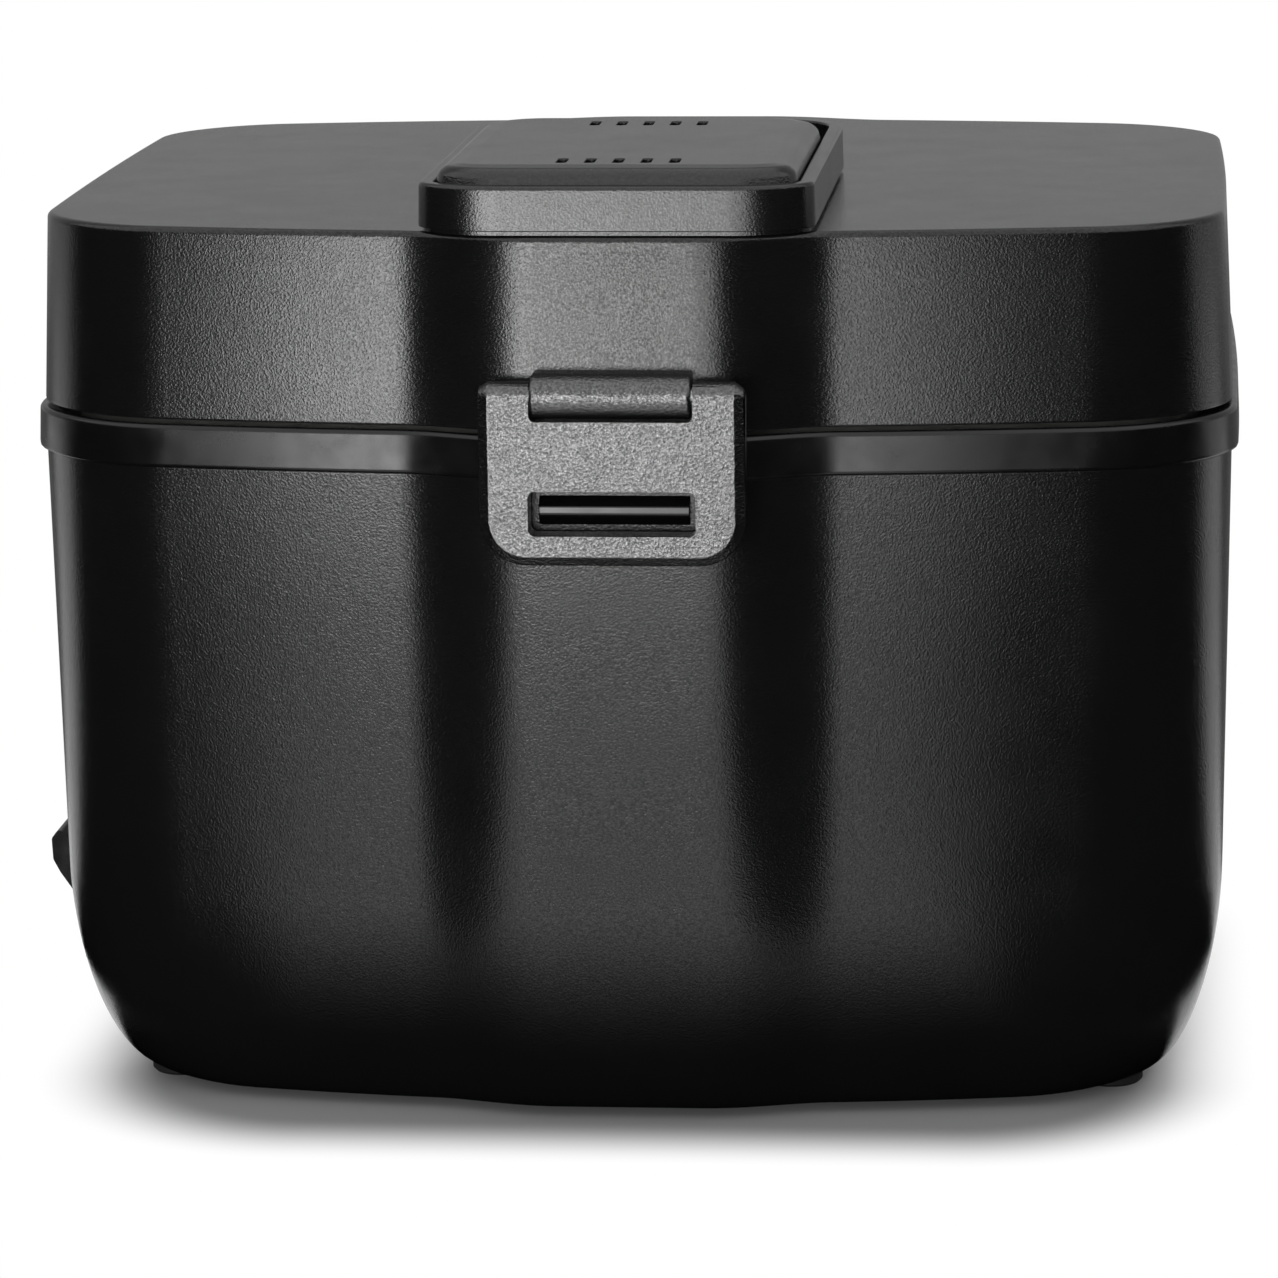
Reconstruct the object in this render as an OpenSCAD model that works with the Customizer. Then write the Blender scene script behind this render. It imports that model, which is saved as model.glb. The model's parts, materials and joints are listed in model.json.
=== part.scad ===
// Electric lunch box: a bowed tub with a heated steel basin, a hinged lid with a steam vent,
// a front latch and stacked food boxes. Origin: middle of the footprint on the table.
// +Z up, the latch faces -Y, the power inlet faces -X, the lid hinge is at the back (+Y).

/* [Outer form] */
// Width of the shells at the parting line
shell_w = 235; // [195:1:282]
// Depth of the shells over their bowed faces, without the centre columns
shell_d = 188; // [156:1:226]
// Height of the body's top edge above the table
body_h = 129; // [110:1:150]
// Height of the lid shell
lid_h = 37.2; // [30:0.2:50]
// Corner radius of the plan outline
corner_r = 26; // [18:1:30]
// How far the front and back faces bow out in the middle
front_bow = 12.6; // [0:0.1:18]
// How far the two side faces bow out in the middle
side_bow = 1.2; // [0:0.05:5]
// Draft of the body's walls, in degrees
draft = 0.9; // [0.2:0.1:3]
// Draft of the lid's outer faces, in degrees
lid_draft = 2.3; // [0:0.1:3]
// Inward reach of the bottom rounding at the sides
foot_round_x = 14; // [8:1:26]
// Inward reach of the bottom rounding at the front and back
foot_round_y = 7; // [5:1:18]
// Height of the bottom rounding
foot_round_z = 41; // [25:1:50]
// Wall of the plastic shells
wall = 2.4; // [1.8:0.1:3.2]
// Thickness of the body's floor
floor_t = 4; // [3.4:0.2:5]
// Radius on the lid's top edge
lid_edge_r = 1.2; // [0.6:0.2:3]

/* [Centre columns] */
// How far the column stands out of the front and back faces
col_proud = 5.5; // [3:0.5:8]
// Width of the column's flat
col_flat_w = 44.8; // [36:0.2:50]
// Width of the column over its ramps
col_foot_w = 81; // [70:1:92]

/* [Rim collar] */
// Height of the visible band
band_h = 8.4; // [6:0.2:12]
// How far the band stands out of the shells
band_proud = 1.4; // [0.6:0.2:2.4]
// Gap between the band and the lid
lid_gap = 0.8; // [0.4:0.1:1.5]
// Depth of the collar's skirt inside the body
skirt_h = 8; // [5:1:14]

/* [Basin] */
// Sheet thickness of the steel basin
basin_t = 0.8; // [0.5:0.1:1.5]
// Width of the basin's flange
flange_w = 7; // [5:0.5:10]
// Height of the basin's underside above the table
basin_z = 37; // [34:0.5:44]
// Radius at the basin's bottom edge
basin_r = 9; // [6:1:14]

/* [Food boxes] */
// Sheet thickness of the food boxes
box_t = 1; // [0.6:0.1:1.5]
// Gap between the food boxes and the basin's wall
box_gap = 6; // [4:0.5:10]
// Height of the steam rack
rack_h = 9; // [7:0.5:12]
// Height of the rice box
rice_h = 46; // [36:1:54]
// Height of the dish boxes
dish_h = 34; // [26:1:36]
// Height of a food box's lid
box_lid_h = 6; // [5:0.5:7]

/* [Latch] */
// Width of the latch plate
latch_w = 50.6; // [46:0.2:56]
// Height of the latch plate below its pin
latch_drop = 32.4; // [30:0.1:36]
// Thickness of the latch plate
latch_t = 4.4; // [3.5:0.1:5.5]
// Height of the latch pin above the lid's lower edge
latch_up = 7.6; // [7:0.1:12]
// Radius of the fixed barrel
barrel_r = 4.3; // [3.6:0.1:5]
// Length of the fixed barrel
barrel_l = 30.4; // [24:0.2:34]
// Width of the window
window_w = 31.8; // [26:0.2:36]
// Height of the window
window_h = 8.6; // [7:0.1:10]
// Distance from the window to the plate's lower edge
window_up = 5.9; // [5:0.1:8]

/* [Lid hinge] */
// Radius of the hinge pin
hinge_pin_r = 2; // [1.5:0.1:2.5]
// Radius of the hinge knuckles
knuckle_r = 4.5; // [4.2:0.1:5.2]
// Length of the middle knuckle
knuckle_l = 26; // [20:1:28]
// Width of each outer knuckle
ear_w = 7.5; // [5:0.5:8]

/* [Vent] */
// Width of the vent housing
vent_w = 75.8; // [66:0.2:84]
// Depth of the vent housing
vent_d = 111.6; // [96:0.2:124]
// Height of the vent housing above the lid
vent_h = 9.4; // [8:0.2:13]
// Wall of the vent housing
vent_wall = 3; // [2:0.2:4]
// How far the cap rises above the housing's rim
cap_rise = 3.2; // [1:0.1:5]
// Depth of the finger well behind the cap
finger_well = 20; // [14:0.5:24]
// Pitch of the steam slots
slot_pitch = 5.4; // [4:0.1:6]
// Length of a steam slot
slot_l = 7; // [4:0.2:8]
// Width of a steam slot
slot_w = 2; // [1.2:0.1:2.6]

/* [Power inlet] */
// Position of the inlet along the side
inlet_y = -21; // [-25:1:20]
// Height of the inlet's centre
inlet_z = 26.5; // [26:0.5:28]
// Width of the spill hood
hood_w = 34; // [32:1:40]
// How far the hood stands out past the shells' width
hood_out = 6.2; // [3:0.2:9]
// Width of the inlet's socket
socket_w = 26.6; // [24:0.2:27]
// Height of the inlet's socket
socket_h = 17.6; // [15:0.2:18]

/* [Base] */
// Height of the rubber feet
foot_h = 2; // [1.6:0.2:4]
// Strip of floor left around the base plate
base_strip = 16; // [14:0.5:20]

/* [Fits] */
// Clearance between pieces that lie side by side
gap = 0.3; // [0.2:0.05:0.5]
// Radial clearance of a pin in its running bore
run_fit = 0.06; // [0.03:0.01:0.1]

/* [Hidden] */
black = [0.1, 0.1, 0.105];
steel = [0.78, 0.79, 0.8];
grey = [0.55, 0.56, 0.57];
white = [0.92, 0.92, 0.9];

// Heights that the pieces share
collar_top = body_h + band_h;
lid_z = collar_top + lid_gap;
lid_top = lid_z + lid_h;
floor_z = foot_h + floor_t;
flange_drop = 1.3;
flange_z = collar_top - flange_drop;
basin_top = flange_z + basin_t;
// Hairline between two faces that sit on each other
seat = 0.01;
basin_floor = basin_z + basin_t;
rack_top = basin_floor + rack_h;
rice_top = rack_top + rice_h;
dish_z = rice_top + box_lid_h;
dish_top = dish_z + dish_h;

// Plan insets from the shells' outer face
skirt_in = wall + gap + 0.2;
skirt_t = 2;
rebate_in = 6;
flange_in = rebate_in + gap;
basin_in = flange_in + flange_w - basin_t;
collar_in = basin_in - 1.2;
box_in = basin_in + basin_t + 2 + box_gap;

// The front face of a column, and the same plane at a height on the drafted body
col_y = shell_d / 2 + col_proud;
function body_inset(z) = (body_h - z) * tan(draft);
function body_face(z) = col_y - body_inset(z);
function lid_inset(z) = (z - lid_z) * tan(lid_draft);
function lid_face(z) = col_y - lid_inset(z);

// ---- plan outlines ----

// Points on each stretch of an outline: lobe, column ramp, side and corner
fine = [4, 5, 2, 6];
plain = [3, 1, 2, 6];

// A column's section: how far it stands out, half its flat, half its foot
column = [col_proud, col_flat_w / 2, col_foot_w / 2];
no_column = [0, col_flat_w / 2, col_foot_w / 2];

function ramp(x, c) =
    let (u = (abs(x) - c[1]) / (c[2] - c[1]))
    u <= 0 ? 1 : u >= 1 ? 0 : (1 + cos(180 * u)) / 2;

// The bow eases out under a column, so that the column's face is flat
function bowed(p, hx, hy, c) =
    let (k = ramp(p[0], c))
    [p[0] * (1 - side_bow / hx * pow(p[1] / hy, 2)),
     p[1] * (1 - front_bow / hy * pow(p[0] / hx, 2) * (1 - k)) + sign(p[1]) * c[0] * k];

// Stations across the front face, from its left corner to its right one
function stations(e, c, n) = concat(
    [for (i = [0:n[0] - 1]) -e + (e - c[2]) * i / n[0]],
    [for (i = [0:n[1] - 1]) -c[2] + (c[2] - c[1]) * i / n[1]],
    [-c[1], 0],
    [for (i = [0:n[1] - 1]) c[1] + (c[2] - c[1]) * i / n[1]],
    [for (i = [0:n[0] - 1]) c[2] + (e - c[2]) * i / n[0]]);

// A rounded rectangle of half sizes hx and hy with bowed sides and the two columns
function outline(hx, hy, r, c, n) =
    let (ex = hx - r, ey = hy - r, s = stations(ex, c, n), q = [for (i = [0:n[3] - 1]) 90 * i / n[3]])
    [for (p = concat(
        [for (x = s) [x, -hy]],
        [for (a = q) [ex + r * sin(a), -ey - r * cos(a)]],
        [for (j = [0:n[2] - 1]) [hx, -ey + 2 * ey * j / n[2]]],
        [for (a = q) [ex + r * cos(a), ey + r * sin(a)]],
        [for (x = s) [-x, hy]],
        [for (a = q) [-ex - r * sin(a), ey + r * cos(a)]],
        [for (j = [0:n[2] - 1]) [-hx, ey - 2 * ey * j / n[2]]],
        [for (a = q) [-ex - r * cos(a), -ey - r * sin(a)]])) bowed(p, hx, hy, c)];

function at(points, z) = [for (p = points) [p[0], p[1], z]];

// The shells' outline, inset by t, at height z
function shell_ring(t, z, c = column, n = fine) =
    at(outline(shell_w / 2 - t, shell_d / 2 - t, max(corner_r - t, 5), c, n), z);

// A plain rounded rectangle about a centre, with corner radii rb at the back and rf at the front
function round_rect(hx, hy, rb, rf, cx = 0, cy = 0, n = 6) =
    [for (q = [0:3], i = [0:n])
        let (a = 90 * (q + i / n), sx = q == 0 || q == 3 ? 1 : -1, sy = q < 2 ? 1 : -1,
             r = q < 2 ? rb : rf)
        [cx + sx * (hx - r) + r * cos(a), cy + sy * (hy - r) + r * sin(a)]];

// ---- lofts ----

function skin(m, n, closed) = [for (k = [0:m - (closed ? 1 : 2)], i = [0:n - 1])
    let (a = k * n + i, b = (k + 1) % m * n + i, c = (k + 1) % m * n + (i + 1) % n,
         d = k * n + (i + 1) % n)
    each [[a, b, c], [a, c, d]]];

// A solid through a stack of rings, closed by a flat face at each end
module loft(rings) {
    n = len(rings[0]);
    m = len(rings);
    ends = [[for (i = [0:n - 1]) i], [for (i = [n - 1:-1:0]) (m - 1) * n + i]];
    polyhedron([for (r = rings) each r], concat(ends, skin(m, n, false)), convexity = 8);
}

// A hoop through rings whose last one joins the first
module hoop(rings) {
    polyhedron([for (r = rings) each r], skin(len(rings), len(rings[0]), true), convexity = 8);
}

// Share of a quarter round at step i of n, for the bottom rounding's superellipse
round_power = 2 / 1.8;
function round_up(i, n) = 1 - pow(cos(90 * i / n), round_power);
function round_in(i, n) = 1 - pow(sin(90 * i / n), round_power);

// ---- body ----

// One ring of the body: s is the share of the bottom rounding, t the inset of the face
function body_ring(z, s, t, n = fine) =
    let (d = body_inset(z) + t, k = 1 - 0.45 * s, w = 1 - 0.08 * s)
    at(outline(shell_w / 2 - d - foot_round_x * s, shell_d / 2 - d - foot_round_y * s,
        corner_r - t, [col_proud * k, col_flat_w / 2 * w, col_foot_w / 2 * w], n), z);

outer_steps = 7;
inner_steps = 5;
// The body's rings from its bottom at z0 up to the rim, inset by t, with m steps of rounding
function body_wall(t, z0, m, n = fine) = concat(
    [for (i = [0:m])
        body_ring(z0 + (foot_round_z - z0 + foot_h) * round_up(i, m), round_in(i, m), t, n)],
    [body_ring(body_h, 0, t, n)]);

function reversed(v) = [for (i = [len(v) - 1:-1:0]) v[i]];

base_w = shell_w - 2 * (body_inset(foot_h) + foot_round_x + base_strip);
base_d = shell_d - 2 * (body_inset(foot_h) + foot_round_y + front_bow + base_strip / 2);
boss_r = 4;
boss_h = 12;
screw_r = 1.5;
screw_x = base_w / 2 - 10;
screw_y = base_d / 2 - 10;
rib_w = 12;
module at_screws() {
    for (x = [-screw_x, screw_x], y = [-screw_y, screw_y])
        translate([x, y, 0]) children();
}

module plan_block(w, d, r, h) {
    linear_extrude(h) polygon(round_rect(w / 2, d / 2, r, r));
}

plate_r = 12;
plate_t = 2.2;
sleeve_t = 1.2;
sleeve_w = socket_w + 2 * (gap / 2 + sleeve_t);
sleeve_h = socket_h + 2 * (gap / 2 + sleeve_t);
inlet_x = -(shell_w / 2 - body_inset(inlet_z));

// A block on the inlet's axis, from x along +X
module inlet_block(x, l, w, h) {
    translate([x, inlet_y - w / 2, inlet_z - h / 2]) cube([l, w, h]);
}

module body_shell() {
    color(black) difference() {
        union() {
            difference() {
                loft(concat(body_wall(0, foot_h, outer_steps),
                    reversed(body_wall(wall, floor_z, inner_steps))));
                translate([0, 0, foot_h - 1])
                    plan_block(base_w - 2 * rib_w, base_d - 2 * rib_w, plate_r, floor_t + 2);
            }
            at_screws() translate([0, 0, foot_h + plate_t]) cylinder(r = boss_r, h = boss_h, $fn = 32);
        }
        translate([0, 0, foot_h - 1])
            plan_block(base_w + 2 * gap, base_d + 2 * gap, plate_r + gap, plate_t + 1);
        at_screws() translate([0, 0, foot_h]) cylinder(r = screw_r + run_fit, h = boss_h, $fn = 32);
        inlet_block(inlet_x - 10, 25, sleeve_w + 2 * gap, sleeve_h + 2 * gap);
    }
}

module rim_collar() {
    r = 0.9;
    color(black) hoop([
        shell_ring(r - band_proud, body_h),
        shell_ring(-band_proud, body_h + r),
        shell_ring(-band_proud, collar_top - r),
        shell_ring(r - band_proud, collar_top),
        shell_ring(rebate_in, collar_top, no_column),
        shell_ring(rebate_in, flange_z, no_column),
        shell_ring(collar_in, flange_z, no_column),
        shell_ring(collar_in, flange_z - 3, no_column),
        shell_ring(skirt_in + skirt_t, flange_z - 3, no_column),
        shell_ring(skirt_in + skirt_t, body_h - skirt_h),
        shell_ring(skirt_in, body_h - skirt_h),
        shell_ring(skirt_in, body_h)]);
}

basin_draft = 1.2;
basin_steps = 4;
function basin_side(t, z0) = concat(
    [for (i = [0:basin_steps])
        let (r = basin_r - t, z = z0 + r * (1 - cos(90 * i / basin_steps)),
             d = basin_in + t + (basin_top - z) * tan(basin_draft))
        shell_ring(d + r * (1 - sin(90 * i / basin_steps)), z, no_column, plain)],
    [shell_ring(basin_in + t, basin_top - (t > 0 ? 0 : basin_t), no_column, plain)]);

module basin() {
    color(steel) loft(concat(
        basin_side(0, basin_z),
        [shell_ring(flange_in, flange_z, no_column, plain),
         shell_ring(flange_in, basin_top, no_column, plain)],
        reversed(basin_side(basin_t, basin_floor))));
}

module base_plate() {
    color(black) difference() {
        translate([0, 0, foot_h]) plan_block(base_w, base_d, plate_r, plate_t);
        at_screws() translate([0, 0, foot_h - 1]) cylinder(r = screw_r + 0.2, h = plate_t + 2, $fn = 32);
        for (x = [-40:8:40], y = [-14, 14])
            translate([x - 1.2, y - 10, foot_h - 1]) cube([2.4, 20, plate_t + 2]);
    }
}

foot_r = 6.5;
module feet() {
    color([0.15, 0.15, 0.15]) for (x = [-1, 1], y = [-1, 1])
        translate([x * (base_w + base_strip) / 2, y * (base_d / 2 - foot_r), 0]) {
            cylinder(r1 = foot_r - 0.6, r2 = foot_r, h = 0.6, $fn = 40);
            translate([0, 0, 0.6]) cylinder(r = foot_r, h = foot_h - 0.6, $fn = 40);
        }
}

module screw(shank_l, r, head_r, head_h) {
    cylinder(r = r, h = shank_l, $fn = 32);
    translate([0, 0, -head_h]) difference() {
        cylinder(r = head_r, h = head_h, $fn = 32);
        for (a = [0, 90])
            rotate(a) translate([-head_r * 0.6, -0.35, -0.1]) cube([head_r * 1.2, 0.7, head_h * 0.6]);
    }
}

module base_screws() {
    color(steel) at_screws() translate([0, 0, foot_h]) screw(boss_h - 1, screw_r, 2.9, 1.4);
}

// ---- power inlet ----

hood_x = -(shell_w / 2 + hood_out);
hood_top = inlet_z + 17.5;
hood_low = inlet_z - 16.5;
hood_lip = 2;
hood_face = 5.5;
chin_turn = [4.6, 11.7];

// The hood's side profile in X and Z: a visor with a raised drip lip over a sloping chin
function hood_profile() = [
    [inlet_x + 8, hood_low],
    [inlet_x + 8, hood_top],
    [hood_x + 3, hood_top],
    [hood_x + 2.1, hood_top + hood_lip * 0.8],
    [hood_x + 1.5, hood_top + hood_lip],
    [hood_x + 0.9, hood_top + hood_lip * 0.8],
    [hood_x, hood_top - 0.2],
    [hood_x + 0.2, hood_top - hood_face + 1],
    [hood_x + 0.8, hood_top - hood_face - 0.5],
    [hood_x + 1.6, hood_top - hood_face - 1.8],
    [hood_x + chin_turn[0], hood_top - chin_turn[1]],
    [inlet_x + 6, hood_low]];

module along_y(w) {
    translate([0, w / 2, 0]) rotate([90, 0, 0]) linear_extrude(w) children();
}

module inlet_hood() {
    color(black) difference() {
        union() {
            difference() {
                translate([0, inlet_y, 0]) along_y(hood_w) polygon(hood_profile());
                loft(body_wall(-0.1, foot_h, outer_steps, plain));
            }
            inlet_block(inlet_x - 2, 12, sleeve_w, sleeve_h);
        }
        inlet_block(hood_x - 2, hood_out + 24, socket_w + gap, socket_h + gap);
    }
}

socket_x = inlet_x + 4;
socket_l = 20;
socket_rim = 1.8;
socket_back = 3;
pin_x = socket_x + 4;
pin_size = [28, 2, 4];
pin_pitch = 7;
pin_spots = [[-pin_pitch, -1.5], [0, 2.5], [pin_pitch, -1.5]];

module at_inlet_pins() {
    for (p = pin_spots)
        translate([pin_x, inlet_y + p[0] - pin_size[1] / 2, inlet_z + p[1] - pin_size[2] / 2])
            children();
}

module inlet_socket() {
    color([0.16, 0.16, 0.17]) difference() {
        inlet_block(socket_x, socket_l, socket_w, socket_h);
        inlet_block(socket_x - 1, socket_l - socket_back + 1, socket_w - 2 * socket_rim,
            socket_h - 2 * socket_rim);
        at_inlet_pins() cube(pin_size);
    }
}

module inlet_pins() {
    color(grey) at_inlet_pins() cube(pin_size);
}

// ---- heater ----

heater_w = shell_w - 119;
heater_d = shell_d - 94;
heater_t = 6;
heater_z = basin_z - heater_t;
element_w = heater_w - 44;
element_d = 26;
element_t = 6;
element_z = heater_z - element_t;
lead_z = inlet_z - 1.5;
clamp_w = 14;
clamp_t = 1.6;
clamp_l = 46;
clamp_screw_y = 18;

module at_clamp_screws() {
    for (y = [-clamp_screw_y, clamp_screw_y]) translate([0, y, element_z - clamp_t]) children();
}

module heater_plate() {
    color(grey) difference() {
        translate([0, 0, heater_z]) plan_block(heater_w, heater_d, 16, heater_t);
        at_clamp_screws() cylinder(r = screw_r, h = element_t + clamp_t + 4.5, $fn = 32);
    }
}

tab_l = 9;
tab_w = 6.3;
tab_t = 0.8;
tab_y = 7;
module heating_element() {
    color([0.75, 0.72, 0.66]) {
        translate([0, 0, element_z]) plan_block(element_w, element_d, 2, element_t);
        for (y = [-tab_y, tab_y])
            translate([-element_w / 2 - tab_l, y - tab_w / 2, lead_z - tab_t / 2])
                cube([tab_l, tab_w, tab_t]);
    }
}

module heater_clamp() {
    color(steel) difference() {
        union() {
            translate([0, 0, element_z - clamp_t]) plan_block(clamp_w, clamp_l, 3, clamp_t);
            for (y = [-clamp_screw_y, clamp_screw_y])
                translate([0, y, element_z]) cylinder(r = 3.6, h = element_t, $fn = 32);
        }
        at_clamp_screws() translate([0, 0, -1])
            cylinder(r = screw_r + 0.1, h = element_t + clamp_t + 2, $fn = 32);
    }
}

module clamp_screws() {
    color(steel) at_clamp_screws() screw(element_t + clamp_t + 4, screw_r, 2.8, 1.6);
}

thermostat_x = heater_w / 2 - 12;
module thermostat() {
    color([0.2, 0.2, 0.22]) translate([thermostat_x, -18, heater_z - 8]) {
        cylinder(r = 8, h = 8, $fn = 48);
        for (x = [-5, 3]) translate([x, -0.4, -7]) cube([2, 0.8, 7]);
    }
}

module thermal_fuse() {
    color(white) translate([thermostat_x - 10, 22, heater_z - 2.5]) rotate([0, 90, 0]) {
        cylinder(r = 2.5, h = 20, $fn = 32);
        translate([0, 0, -8]) cylinder(r = 0.5, h = 36, $fn = 16);
    }
}

lead_r = 1.2;
lead_start = pin_x + pin_size[0];
lead_end = -element_w / 2 - tab_l;
// A lead's path in plan: from a socket tab to the heating element's tab on side s
function lead_path(s) = [for (q = [[0, 0], [0.25, 0], [0.5, 0.5], [0.75, 1], [1, 1]])
    [lead_start + (lead_end - lead_start) * q[0],
     (inlet_y + s * pin_pitch) * (1 - q[1]) + s * tab_y * q[1]]];

function unit(v) = v / norm(v);

// Rings of n points around each point of a flat path at height z
function tube_rings(path, r, z, n) = [for (i = [0:len(path) - 1])
    let (d = unit(path[min(i + 1, len(path) - 1)] - path[max(i - 1, 0)]))
    [for (k = [0:n - 1]) let (a = 360 * k / n)
        [path[i][0] + d[1] * r * cos(a), path[i][1] - d[0] * r * cos(a), z + r * sin(a)]]];

module lead_wires() {
    color([0.85, 0.85, 0.8]) for (s = [-1, 1])
        loft(reversed(tube_rings(lead_path(s), lead_r, lead_z, 8)));
}

// ---- food boxes ----

rack_t = 1;
rack_r = 16;
rack_hole_r = 4;
rack_hx = shell_w / 2 - box_in - 2;
rack_hy = shell_d / 2 - box_in - front_bow;
rack_pitch_x = rack_hx / 5.5;
rack_pitch_y = rack_hy / 3.3;
module steam_rack() {
    color(steel) difference() {
        translate([0, 0, rack_top - rack_t]) plan_block(2 * rack_hx, 2 * rack_hy, rack_r, rack_t);
        for (i = [-4:4], j = [-2:2])
            if (abs(i) < 4 || abs(j) < 2)
                translate([i * rack_pitch_x, j * rack_pitch_y, rack_top - 2 * rack_t])
                    cylinder(r = rack_hole_r, h = 3 * rack_t, $fn = 24);
    }
}

module rack_feet() {
    color([0.7, 0.7, 0.68]) for (x = [-4, 4], y = [-2, 2])
        translate([x * rack_pitch_x, y * rack_pitch_y, basin_floor])
            cylinder(r = 5, h = rack_h - rack_t, $fn = 32);
}

rim_roll = 2;
lid_skirt = 4;
lid_wall = 1.2;
box_r = 6;
box_steps = 2;
rice_r = 14;
function rice_ring(t, z) = shell_ring(box_in + t, z, no_column, plain);

// Half the space between the two dish boxes' rims, which leaves room for their lids
dish_space = 2 * gap + lid_wall + 0.2;
dish_hx = (shell_w / 2 - box_in) / 2 - dish_space;
dish_hy = shell_d / 2 - box_in - front_bow + 2;
dish_x = dish_hx + dish_space;
function dish_ring(t, z) = at(round_rect(dish_hx - t, dish_hy - t, 16 - t, 16 - t), z);

// The stretch of a box's wall from its bottom at z0 up to z1, inset by t; kind picks the outline
function box_ring(kind, t, z) = kind == "rice" ? rice_ring(t, z) : dish_ring(t, z);
function box_wall(kind, t, z0, z1) = concat(
    [for (i = [0:box_steps])
        let (r = box_r - t)
        box_ring(kind, rim_roll + 1 + t + r * (1 - sin(90 * i / box_steps)),
            z0 + r * (1 - cos(90 * i / box_steps)))],
    [box_ring(kind, rim_roll + t, z1)]);

module food_box(kind, z, h) {
    loft(concat(
        box_wall(kind, 0, z, z + h - box_t),
        [box_ring(kind, 0, z + h - box_t), box_ring(kind, 0, z + h)],
        reversed(box_wall(kind, box_t, z + box_t, z + h))));
}

// A moulded lid over a food box whose rim is at z: a skirt, a flat rim and a raised top
lid_rim = 5;
lid_rise = 1.5;
module box_lid(kind, z) {
    out = gap + lid_wall;
    raised = lid_rim + lid_rise;
    loft([
        box_ring(kind, raised + lid_wall, z + box_lid_h - lid_wall),
        box_ring(kind, lid_rim + lid_wall, z),
        box_ring(kind, -gap, z),
        box_ring(kind, -gap, z - lid_skirt),
        box_ring(kind, -out, z - lid_skirt),
        box_ring(kind, -out, z + lid_wall),
        box_ring(kind, lid_rim, z + lid_wall),
        box_ring(kind, raised, z + box_lid_h)]);
}

module rice_box() {
    color(steel) food_box("rice", rack_top, rice_h);
}

module rice_box_lid() {
    color(white) box_lid("rice", rice_top);
}

module dish(side) {
    translate([side * dish_x, 0, 0]) food_box("dish", dish_z, dish_h);
}

module dish_lid(side) {
    translate([side * dish_x, 0, 0]) box_lid("dish", dish_top);
}

// ---- lid ----

lid_ceiling = lid_top - wall;
panel_z = lid_z + 2.4;
panel_t = 1.6;
panel_rim = 12.5;
dome_z = panel_z + 8.8;
lid_boss_x = shell_w / 2 - 47.5;
lid_boss_y = shell_d / 2 - 54;
duct_y = -(col_y - 44.5);
duct_r = 9;
duct_bore = 6;

module at_lid_bosses(z) {
    for (x = [-lid_boss_x, lid_boss_x], y = [-lid_boss_y, lid_boss_y])
        translate([x, y, z]) children();
}

function lid_ring(t, z, c = column) = shell_ring(t + lid_inset(z), z, c);

module lid_shell() {
    r = lid_edge_r;
    color(black) difference() {
        union() {
            loft([
                lid_ring(wall + 0.6, lid_ceiling),
                lid_ring(wall, lid_ceiling - 0.6),
                lid_ring(wall, lid_z),
                lid_ring(0.3, lid_z),
                lid_ring(0, lid_z + 0.3),
                lid_ring(0, lid_top - r),
                lid_ring(r * 0.13, lid_top - r * 0.5),
                lid_ring(r * 0.5, lid_top - r * 0.13),
                lid_ring(r, lid_top)]);
            at_lid_bosses(dome_z + panel_t) cylinder(r = 3.6, h = lid_ceiling - dome_z, $fn = 32);
        }
        at_lid_bosses(dome_z) cylinder(r = screw_r, h = 12, $fn = 32);
        translate([0, duct_y, lid_ceiling - 1]) cylinder(r = duct_r + gap, h = wall + 2, $fn = 48);
    }
}

module lid_inner_panel() {
    edge = wall + gap;
    color(white) difference() {
        loft([
            shell_ring(panel_rim + 14, dome_z, no_column),
            shell_ring(panel_rim + 3, dome_z - panel_t, no_column),
            shell_ring(panel_rim, panel_z, no_column),
            lid_ring(edge, panel_z),
            lid_ring(edge, panel_z + panel_t),
            shell_ring(panel_rim - panel_t, panel_z + panel_t, no_column),
            shell_ring(panel_rim + 1.2, dome_z, no_column),
            shell_ring(panel_rim + 13.5, dome_z + panel_t, no_column)]);
        at_lid_bosses(dome_z - 1) cylinder(r = screw_r + 0.2, h = panel_t + 2, $fn = 32);
        translate([0, duct_y, dome_z - 1]) cylinder(r = duct_bore, h = panel_t + 2, $fn = 48);
    }
}

module lid_seal() {
    out = rebate_in + 0.4;
    z = basin_top + gap;
    color([0.8, 0.8, 0.78]) hoop([
        shell_ring(out, z + 0.8, no_column, plain),
        shell_ring(out, panel_z, no_column, plain),
        shell_ring(out + 4.6, panel_z, no_column, plain),
        shell_ring(out + 4.6, z + 1.4, no_column, plain),
        shell_ring(out + 3.2, z, no_column, plain),
        shell_ring(out + 1, z, no_column, plain)]);
}

module lid_screws() {
    color(steel) at_lid_bosses(dome_z) screw(panel_t + 8, screw_r, 2.9, 1.4);
}

module steam_duct() {
    color([0.8, 0.8, 0.78]) translate([0, duct_y, 0]) difference() {
        union() {
            translate([0, 0, dome_z + panel_t])
                cylinder(r = duct_r, h = lid_top - dome_z - panel_t, $fn = 48);
            translate([0, 0, dome_z + panel_t]) cylinder(r = duct_r + 3, h = 2, $fn = 48);
        }
        translate([0, 0, dome_z]) cylinder(r = duct_bore, h = lid_top, $fn = 48);
    }
}

// ---- steam vent ----

vent_top = lid_top + vent_h;
vent_floor = 2.4;
cap_top = vent_top + cap_rise;
vent_front = lid_face(lid_top);
vent_y = -vent_front + vent_d / 2;
function vent_ring(t, z) =
    at(round_rect(vent_w / 2 - t, vent_d / 2 - t, max(15 - t, 3), max(9.5 - t, 3), 0, vent_y), z);

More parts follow.
